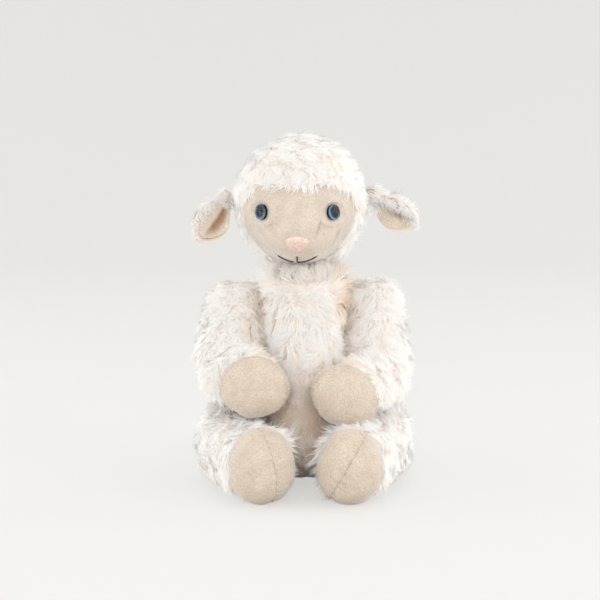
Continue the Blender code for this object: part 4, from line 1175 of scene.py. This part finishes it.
# %% Stations of the arms and legs
def shoulder(side):
    """Centre of the round top of an arm."""
    return np.array((SIDES[side] * (LIMB_PLANE + SHOULDER_RADIUS), -SHOULDER_FORWARD, SHOULDER_HEIGHT))


def arm_stations(side):
    """From the shoulder down and round in front of the belly to the paw."""
    start = shoulder(side)
    paw_y = -(BELLY_REACH + GAP + PAW_HALF[1])
    paw = np.array((SIDES[side] * PAW_X[side], paw_y, LEG_TOP + PAW_LIFT[side] + PAW_HALF[2]))
    found = []
    for forward, drop, over, wide, tall in ARM_SHARES:
        half_width, half_height = SHOULDER_RADIUS * wide, SHOULDER_RADIUS * tall
        x = (LIMB_PLANE + half_width) * (1 - over) + PAW_X[side] * over
        y = start[1] + (paw[1] - start[1]) * forward
        z = start[2] + (paw[2] - start[2]) * drop
        found.append((np.array((SIDES[side] * x, y, z)), half_width, half_height))
    return found, paw


def leg_stations(side):
    """From the hip forward along the floor to the ankle, with the foot's centre ahead of it."""
    start = np.array((SIDES[side] * (LIMB_PLANE + LEG_HALF_WIDTH), -HIP_FORWARD, HIP_HEIGHT))
    found = []
    for forward, inward, wide, tall in LEG_SHARES:
        half_width, half_height = LEG_HALF_WIDTH * wide, LEG_HALF_HEIGHT * tall
        x = abs(start[0]) - LEG_TOE_IN * inward
        found.append((np.array((SIDES[side] * x, start[1] - LEG_LENGTH * forward, half_height - SETTLE)),
                      half_width, half_height))
    ankle = found[-2][0]
    foot_x = SIDES[side] * (abs(ankle[0]) - FOOT_IN[side])
    return found, np.array((foot_x, ankle[1] - FOOT_AHEAD, FOOT_HALF[2] - SETTLE))


print("paws:", [arm_stations(side)[1].round(4).tolist() for side in SIDES])
print("feet:", [leg_stations(side)[1].round(4).tolist() for side in SIDES])

# %% [markdown]
# ## Paws and feet
# Paws and feet are two halves of short pile, sewn at the rim and turned, so each half is full in
# the middle and dips into the seam, where small puckers run out from the stitches.

# %% Pad halves
PAD_ROWS, PAD_COLUMNS, PAD_FLAT_ROWS = 96, 104, 8
SEAM_WIDTH, PUCKER_WIDTH, PUCKER_DEPTH, WAVES = 0.13, 0.3, 0.0003, (40, 7, 71)
PAD_GRAIN, PAD_GRAIN_SIZE, PAD_DENT, PAD_DENT_SIZE = 0.00012, 0.0012, 0.0006, 0.008


def about(axis, angle):
    """Matrix that turns about Y or Z."""
    c, s = math.cos(angle), math.sin(angle)
    if axis == "Y":
        return np.array(((c, 0, s), (0, 1, 0), (-s, 0, c)))
    return np.array(((c, -s, 0), (s, c, 0), (0, 0, 1)))


def pad_half(centre, half_sizes, turn, facing, floor, seed, reach=90, seam_turn=None, sag=0.0, sewn=0.0012):
    """Part of an egg: its arc, drawn in near the seam and puckered there, then a flat way back.

    reach is how far round the arc goes to each side of its facing, and seam_turn slants the seam.
    """
    rise = np.linspace(math.pi / 2, -math.pi / 2, PAD_ROWS)[:, None]
    swing = np.radians(np.linspace(-reach, reach, PAD_COLUMNS))[None, :]
    around = facing + swing
    shape = np.stack([np.cos(rise) * np.cos(around), np.cos(rise) * np.sin(around),
                      np.sin(rise) * np.ones_like(around)], axis=-1)
    if seam_turn is not None:
        shape = shape @ seam_turn.T
    to_seam = (math.radians(reach) - np.abs(swing)) * np.cos(rise)
    wave = np.sin(rise * WAVES[0] + 3 * np.sin(rise * WAVES[1] + seed)) + 0.6 * np.sin(rise * WAVES[2] + seed)
    dip = sewn * np.exp(-((to_seam / SEAM_WIDTH) ** 2))
    dip = dip + PUCKER_DEPTH * np.exp(-((to_seam / PUCKER_WIDTH) ** 2)) * wave
    outer = shape * half_sizes * (1 - (dip / half_sizes.mean())[..., None])
    outer[..., 0] *= 1 - sag * shape[..., 2]
    grown = centre + outer @ turn.T
    normal = unit((shape / half_sizes) @ turn.T)
    grain, dent = cloud(grown, PAD_GRAIN_SIZE, seed), cloud(grown, PAD_DENT_SIZE, seed + 1)
    grown = grown + normal * (PAD_GRAIN * grain + PAD_DENT * dent)[..., None]
    share = np.linspace(0, 1, PAD_FLAT_ROWS)[1:-1][None, :, None]
    flat = grown[:, -1:] * (1 - share) + grown[:, :1] * share
    loops = np.concatenate([grown, flat], axis=1)
    if floor is not None:
        loops[..., 2] = np.maximum(loops[..., 2], floor)
    return loops


PAD_COVER = 0.97


def inside_pad(points, centre, half_sizes, turn):
    """True for points inside a pad, a little in from its surface."""
    local = (points - centre) @ turn
    return ((local / (half_sizes * PAD_COVER)) ** 2).sum(-1) < 1


print("pad grid:", PAD_ROWS, "by", PAD_COLUMNS)

# %% [markdown]
# ## Dressing the limbs
# Fur stands up where it meets a pad and where limbs press on the body, and lies flat elsewhere.
# Roots there are also turned to the front, because hairs that stand up catch the light from there.

# %% Arms and paws
ARM_COLUMNS = 72
PAW_FRONT_REACH = 76
ARM_TOP, ARM_INSIDE, ARM_CUFF = (0.112, 0.012), (0.042, -0.008), (0.8, 0.12)
ARM_UNDER = (0.085, -0.01)
# Painted shade: the fur on the inside of an arm, next to the body, gets a darker, warmer tone.
FULL_LONGER, INSIDE_LONGER, FLAT_SHORTER, INSIDE_SHADE_TINT = 0.004, 0.002, 0.002, 0.55


def dress_arm(side):
    """An arm's bag, the two halves of its paw, and its fur."""
    stations, paw = arm_stations(side)
    arm = closed_end(limb_loops(stations, 60, ARM_COLUMNS, SKIN_INSET))
    skin = place_in(bag("arm_bag_" + side, arm, SKIN_LOOK), "arm_" + side, "fur", "arm_sleeve_" + side,
                    "arm_stuffing_" + side)
    turn = about("Y", SIDES[side] * PAW_ROLL[side])
    for kind, facing, seed, reach in (("front", -math.pi / 2, 11, PAW_FRONT_REACH),
                                      ("back", math.pi / 2, 13, 180 - PAW_FRONT_REACH)):
        loops = pad_half(paw, PAW_HALF, turn, facing, None, seed, reach)
        half = bag(f"paw_{kind}_half_{side}", loops, PAW_LOOK)
        place_in(half, "arm_" + side, "velour", f"paw_{kind}_{side}")

    rooted = scatter(arm[:-1], rng, lambda p: np.where(inside_pad(p, paw, PAW_HALF, turn), 0.0, 1.0))
    x, _, z = rooted[0].T
    top, inside = risen(z, *ARM_TOP), risen(np.abs(x), *ARM_INSIDE)
    cuff = risen(rooted[3] / len(arm), *ARM_CUFF)
    full = ARM_FULLNESS[side] * (1 - top)
    flat_top = top * (1 - inside) * FLAT_TOP[side]
    under = risen(z, *ARM_UNDER) * (rooted[1][:, 2] < 0)
    rooted = bent(rooted, 0.8 * inside + 0.6 * cuff + 0.35 * top + 0.7 * under, (0, -1.0, 0.2))
    lean = (0.95 - full - 0.4 * inside - 0.45 * cuff + 0.3 * flat_top, 1.5 - full / 2 - 0.3 * cuff)
    reach = LIMB_FUR + FULL_LONGER * full + INSIDE_LONGER * inside * (1 + top) - FLAT_SHORTER * flat_top
    grow_fur("arm_fur_" + side, "arm_" + side, rooted, rooted[2] + np.array((0, 0, -0.25)), reach, rng,
             lean=lean, shade_tint=INSIDE_SHADE_TINT * inside)


# %% Legs and feet
LEG_COLUMNS, LEG_FLOOR = 80, 0.0004
FOOT_SEAM = {"left": about("Z", math.radians(-24)) @ about("Y", math.radians(32)),
             "right": about("Z", math.radians(24)) @ about("Y", math.radians(-8))}
LEG_UNDER, UNDER_LEG_SHARE = 0.0015, 0.15
LEG_LOW, LEG_CUFF = (0.016, -0.012), (0.72, 0.15)
LEG_INNER, INNER_AHEAD = (0.034, -0.01), (-0.035, -0.02)
LAP_HEIGHT, LAP_AHEAD = (0.036, 0.008), (-0.015, -0.01)
LEG_FUR, LOW_SHORTER, CUFF_LONGER, INNER_LONGER, LAP_LONGER = 0.0098, 0.005, 0.0015, 0.004, 0.003


def dress_leg(side):
    """A leg's bag, the two halves of its foot, and its fur."""
    stations, foot = leg_stations(side)
    leg = closed_end(limb_loops(stations, 60, LEG_COLUMNS, SKIN_INSET, LEG_FLOOR))
    skin = place_in(bag("leg_bag_" + side, leg, SKIN_LOOK), "leg_" + side, "fur", "leg_cover_" + side,
                    "leg_stuffing_" + side)
    turn = about("Z", SIDES[side] * FOOT_TURN[side])
    outward_facing = 0.0 if side == "left" else math.pi
    for kind, facing, seed in (("outer", outward_facing, 17), ("inner", math.pi - outward_facing, 19)):
        loops = pad_half(foot, FOOT_HALF, turn, facing, 0.0, seed, seam_turn=FOOT_SEAM[side], sag=0.1,
                         sewn=0.0006)
        half = bag(f"foot_{kind}_half_{side}", loops, PAW_LOOK)
        place_in(half, "leg_" + side, "velour", f"foot_{kind}_{side}")

    def leg_weight(p):
        """No wisps inside the foot, and few under the leg."""
        bare = inside_pad(p, foot, FOOT_HALF, turn)
        return np.where(bare, 0.0, np.where(p[..., 2] < LEG_UNDER, UNDER_LEG_SHARE, 1.0))

    rooted = scatter(leg[:-1], rng, leg_weight)
    x, y, z = rooted[0].T
    low = risen(z, *LEG_LOW)
    cuff = risen(rooted[3] / len(leg), *LEG_CUFF) * (1 - low)
    inner = risen(np.abs(x), *LEG_INNER) * risen(y, *INNER_AHEAD)
    lap = risen(z, *LAP_HEIGHT) * risen(y, *LAP_AHEAD)
    rooted = bent(rooted, 0.8 * inner + 0.7 * np.maximum(cuff, lap), (0, -1.0, 0.4))
    lean = (0.9 + 0.3 * low - 0.5 * np.maximum.reduce([cuff, inner, lap]),
            1.5 - 0.4 * np.maximum.reduce([cuff, 1.5 * inner, 1.5 * lap]))
    reach = LEG_FUR - LOW_SHORTER * low * (1 - inner) + CUFF_LONGER * cuff + INNER_LONGER * inner
    grow_fur("leg_fur_" + side, "leg_" + side, rooted, rooted[2] + np.array((0, 0, 0.15)),
             reach + LAP_LONGER * lap, rng, lean=lean)


for side in SIDES:
    dress_arm(side)
    dress_leg(side)

# %% [markdown]
# ## Tail and seam threads
# The tail is a short stuffed cone, and ladder stitches pull each limb against the body. Both are
# simple loops: cones along a slanted line, and a ring whose thread swells once for each ply.

# %% Tail
TAIL_RADIUS, TAIL_LENGTH, TAIL_TILT, TAIL_HEIGHT = 0.0075, 0.019, math.radians(35), 0.036
TAIL_SHARES = ((0.00, 1.00), (0.35, 1.10), (0.70, 0.92), (0.90, 0.55), (1.00, 0.0))
levels = np.linspace(0, 1, 200)
tail_row = np.argmin(np.abs(levels - TAIL_HEIGHT / TORSO_HEIGHT)) + CAP_ROWS - 1
back_reach = torso_loops(len(levels), 120, 0.0)[tail_row, :, 1].max()
tail_root = np.array((0.0, back_reach + GAP + TAIL_RADIUS, TAIL_HEIGHT))
tail_way = np.array((0.0, math.cos(TAIL_TILT), -math.sin(TAIL_TILT)))
at = np.sin(np.linspace(0, math.pi / 2, 26))
tail_size = (TAIL_RADIUS - SKIN_INSET * 0.5) * np.maximum(eased(TAIL_SHARES, 1, at), 0.02)
turn = np.linspace(math.pi / 2, 0, 8)[:-1]
centres = np.concatenate([-tail_size[0] * np.sin(turn), (TAIL_LENGTH - SKIN_INSET) * at])
sizes = np.concatenate([tail_size[0] * np.cos(turn), tail_size])
tail = turned(tail_root, tail_way, list(zip(sizes, centres)), 40)
tail_skin = place_in(bag("tail_bag", tail, SKIN_LOOK), "tail", "fur", "tail_cover", "tail_stuffing")
rooted = scatter(tail, rng)
grow_fur("tail_fur", "tail", rooted, tail_way * np.ones_like(rooted[0]), 0.008, rng)


# %% Seam threads
PLY_DEPTH = 0.14
NECK_RADIUS, NECK_THREAD = 0.014, 0.0023
LIMB_SEAM_RADIUS, LIMB_THREAD = 0.008, 0.0011


def seam_ring(centre, axis, radius, thread, twists=9):
    """A ring of thread: small circles carried round a big one, swelling twice a turn for two plies."""
    side = np.array((0.0, 1.0, 0.0))
    up = np.cross(axis, side)
    big = circle(96)[:, None, None]
    small = circle(10)[None, :, None]
    size = thread / 2 * (1 - PLY_DEPTH + PLY_DEPTH * np.cos(2 * small - twists * big))
    spoke = np.cos(big) * side + np.sin(big) * up
    return centre + spoke * (radius + size * np.cos(small)) + axis * size * np.sin(small)


z_axis, x_axis = np.array((0.0, 0.0, 1.0)), np.array((1.0, 0.0, 0.0))
neck_place = np.array((HEAD_CENTRE[0], HEAD_CENTRE[1], TORSO_HEIGHT + GAP + NECK_THREAD / 2))
neck_ring = hoop("neck_stitches", seam_ring(neck_place, z_axis, NECK_RADIUS, NECK_THREAD), SEAM_LOOK)
place_in(neck_ring, "neck", "seam_thread", "neck_seam")
for side, sign in SIDES.items():
    for kind, place in (("shoulder", shoulder(side)), ("hip", leg_stations(side)[0][0][0])):
        centre = np.array((sign * (TORSO_HALF_WIDTH + GAP + LIMB_THREAD / 2), place[1], place[2]))
        loops = seam_ring(centre, sign * x_axis, LIMB_SEAM_RADIUS, LIMB_THREAD)
        ring = hoop(f"{kind}_stitches_{side}", loops, SEAM_LOOK)
        place_in(ring, f"{kind}_{side}", "seam_thread", f"{kind}_seam_{side}")
print("wisps in all:", fur_count)

# %% [markdown]
# ## Studio
# The photograph was taken on a white sweep: floor and backdrop are one pale sheet with a soft
# curve between them. Big soft lamps stand to the sides, in front, behind and above, and a small one
# puts the glint into the eyes. They are named by the sides of the picture, and a pale world fills
# in. The paper also shows the camera a glow of painted light, bright on the floor and darker up the
# wall, so the backdrop is pale without more light.

# %% Floor and backdrop
SWEEP_BACK, SWEEP_CURVE, SWEEP_TOP = 1.1, 0.5, 2.2
SWEEP_FRONT, SWEEP_HALF_WIDTH, SWEEP_DROP = (-2.5, -0.6, 0.0, 0.5), 3, 0.0001
# Painted light: the paper's glow is bright on the floor and falls off up the wall.
PAPER_FALLOFF_TONES = ((0.0, (0.94, 0.925, 0.90)), (1.0, (0.72, 0.715, 0.695)), (0.3, (0.94, 0.925, 0.90)),
               (0.75, (0.83, 0.82, 0.80)))
PAPER_START, PAPER_END, PAPER_GLOW = -0.6, 1.6, 0.6


def sweep_loops():
    """A profile of floor, quarter circle and wall, carried along X."""
    bend = np.linspace(0, math.pi / 2, 16)
    back = SWEEP_BACK + SWEEP_CURVE
    y = np.concatenate([SWEEP_FRONT, SWEEP_BACK + SWEEP_CURVE * np.sin(bend), [back]])
    z = np.concatenate([np.zeros(len(SWEEP_FRONT)), SWEEP_CURVE * (1 - np.cos(bend)), [SWEEP_TOP]])
    x = np.linspace(-SWEEP_HALF_WIDTH, SWEEP_HALF_WIDTH, 13)
    return np.stack([x[None, :] + 0 * y[:, None], y[:, None] + 0 * x, z[:, None] + 0 * x], axis=-1)


def paper_finish():
    """Paper that takes the shadows, mixed with a glow where the camera, gloss or glass looks:
    painted light, bright on the floor and darker up the wall.
    """
    material, nodes, links, shader = finish("paper_sweep", (0.72, 0.71, 0.69), 0.9)
    parts = nodes.new("ShaderNodeSeparateXYZ")
    links.new(nodes.new("ShaderNodeTexCoord").outputs["Object"], parts.inputs[0])
    reach = nodes.new("ShaderNodeMapRange")
    reach.inputs["From Min"].default_value = PAPER_START
    reach.inputs["From Max"].default_value = PAPER_END
    links.new(parts.outputs["Y"], reach.inputs["Value"])
    glow = nodes.new("ShaderNodeEmission")
    links.new(colour_ramp(nodes, links, reach.outputs["Result"], PAPER_FALLOFF_TONES), glow.inputs["Color"])
    rays = ("Is Camera Ray", "Is Glossy Ray", "Is Transmission Ray")
    show_instead(material, shader, glow, PAPER_GLOW, rays)
    return material


sweep = sweep_loops()
rows, columns = sweep.shape[:2]
index = np.arange(rows * columns).reshape(rows, columns)
quads = np.stack([index[:-1, :-1], index[:-1, 1:], index[1:, 1:], index[1:, :-1]], -1).reshape(-1, 4)
backdrop = add_mesh("sweep", sweep.reshape(-1, 3) - np.array((0, 0, SWEEP_DROP)), [quads], paper_finish())
print("sweep points:", rows * columns)

# %% Light
LAMP_AIM = np.array((0, 0, 0.1))
LAMPS = {
    "key": ((1.7, -0.9, 0.9), 1.3, 13.0), "glint": ((-0.25, -2.0, 0.95), 0.15, 4.0),
    "front": ((0.25, -2.1, 0.7), 1.3, 8.5), "fill": ((-1.7, -0.9, 0.7), 1.3, 8.8),
    "left_rim": ((-1.9, 0.6, 0.7), 1.2, 11.0), "right_rim": ((1.9, 0.8, 0.8), 1.2, 10.0),
    "top": ((0.1, 0.3, 1.9), 1.4, 5.0),
}
WORLD_COLOUR, WORLD_STRENGTH = (1.0, 0.995, 0.985, 1.0), 0.70

for name, (place, size, power) in LAMPS.items():
    light = bpy.data.lights.new(name, "AREA")
    light.size = size
    light.energy = power
    lamp = bpy.data.objects.new(name, light)
    lamp.location = place
    way = unit(LAMP_AIM - np.array(place))
    lamp.rotation_euler = (math.acos(-way[2]), 0.0, math.atan2(way[1], way[0]) - math.pi / 2)
    bpy.context.scene.collection.objects.link(lamp)
world = bpy.data.worlds.new("studio")
world.use_nodes = True
world.node_tree.nodes["Background"].inputs["Color"].default_value = WORLD_COLOUR
world.node_tree.nodes["Background"].inputs["Strength"].default_value = WORLD_STRENGTH
bpy.context.scene.world = world
print("lamps:", len(LAMPS))
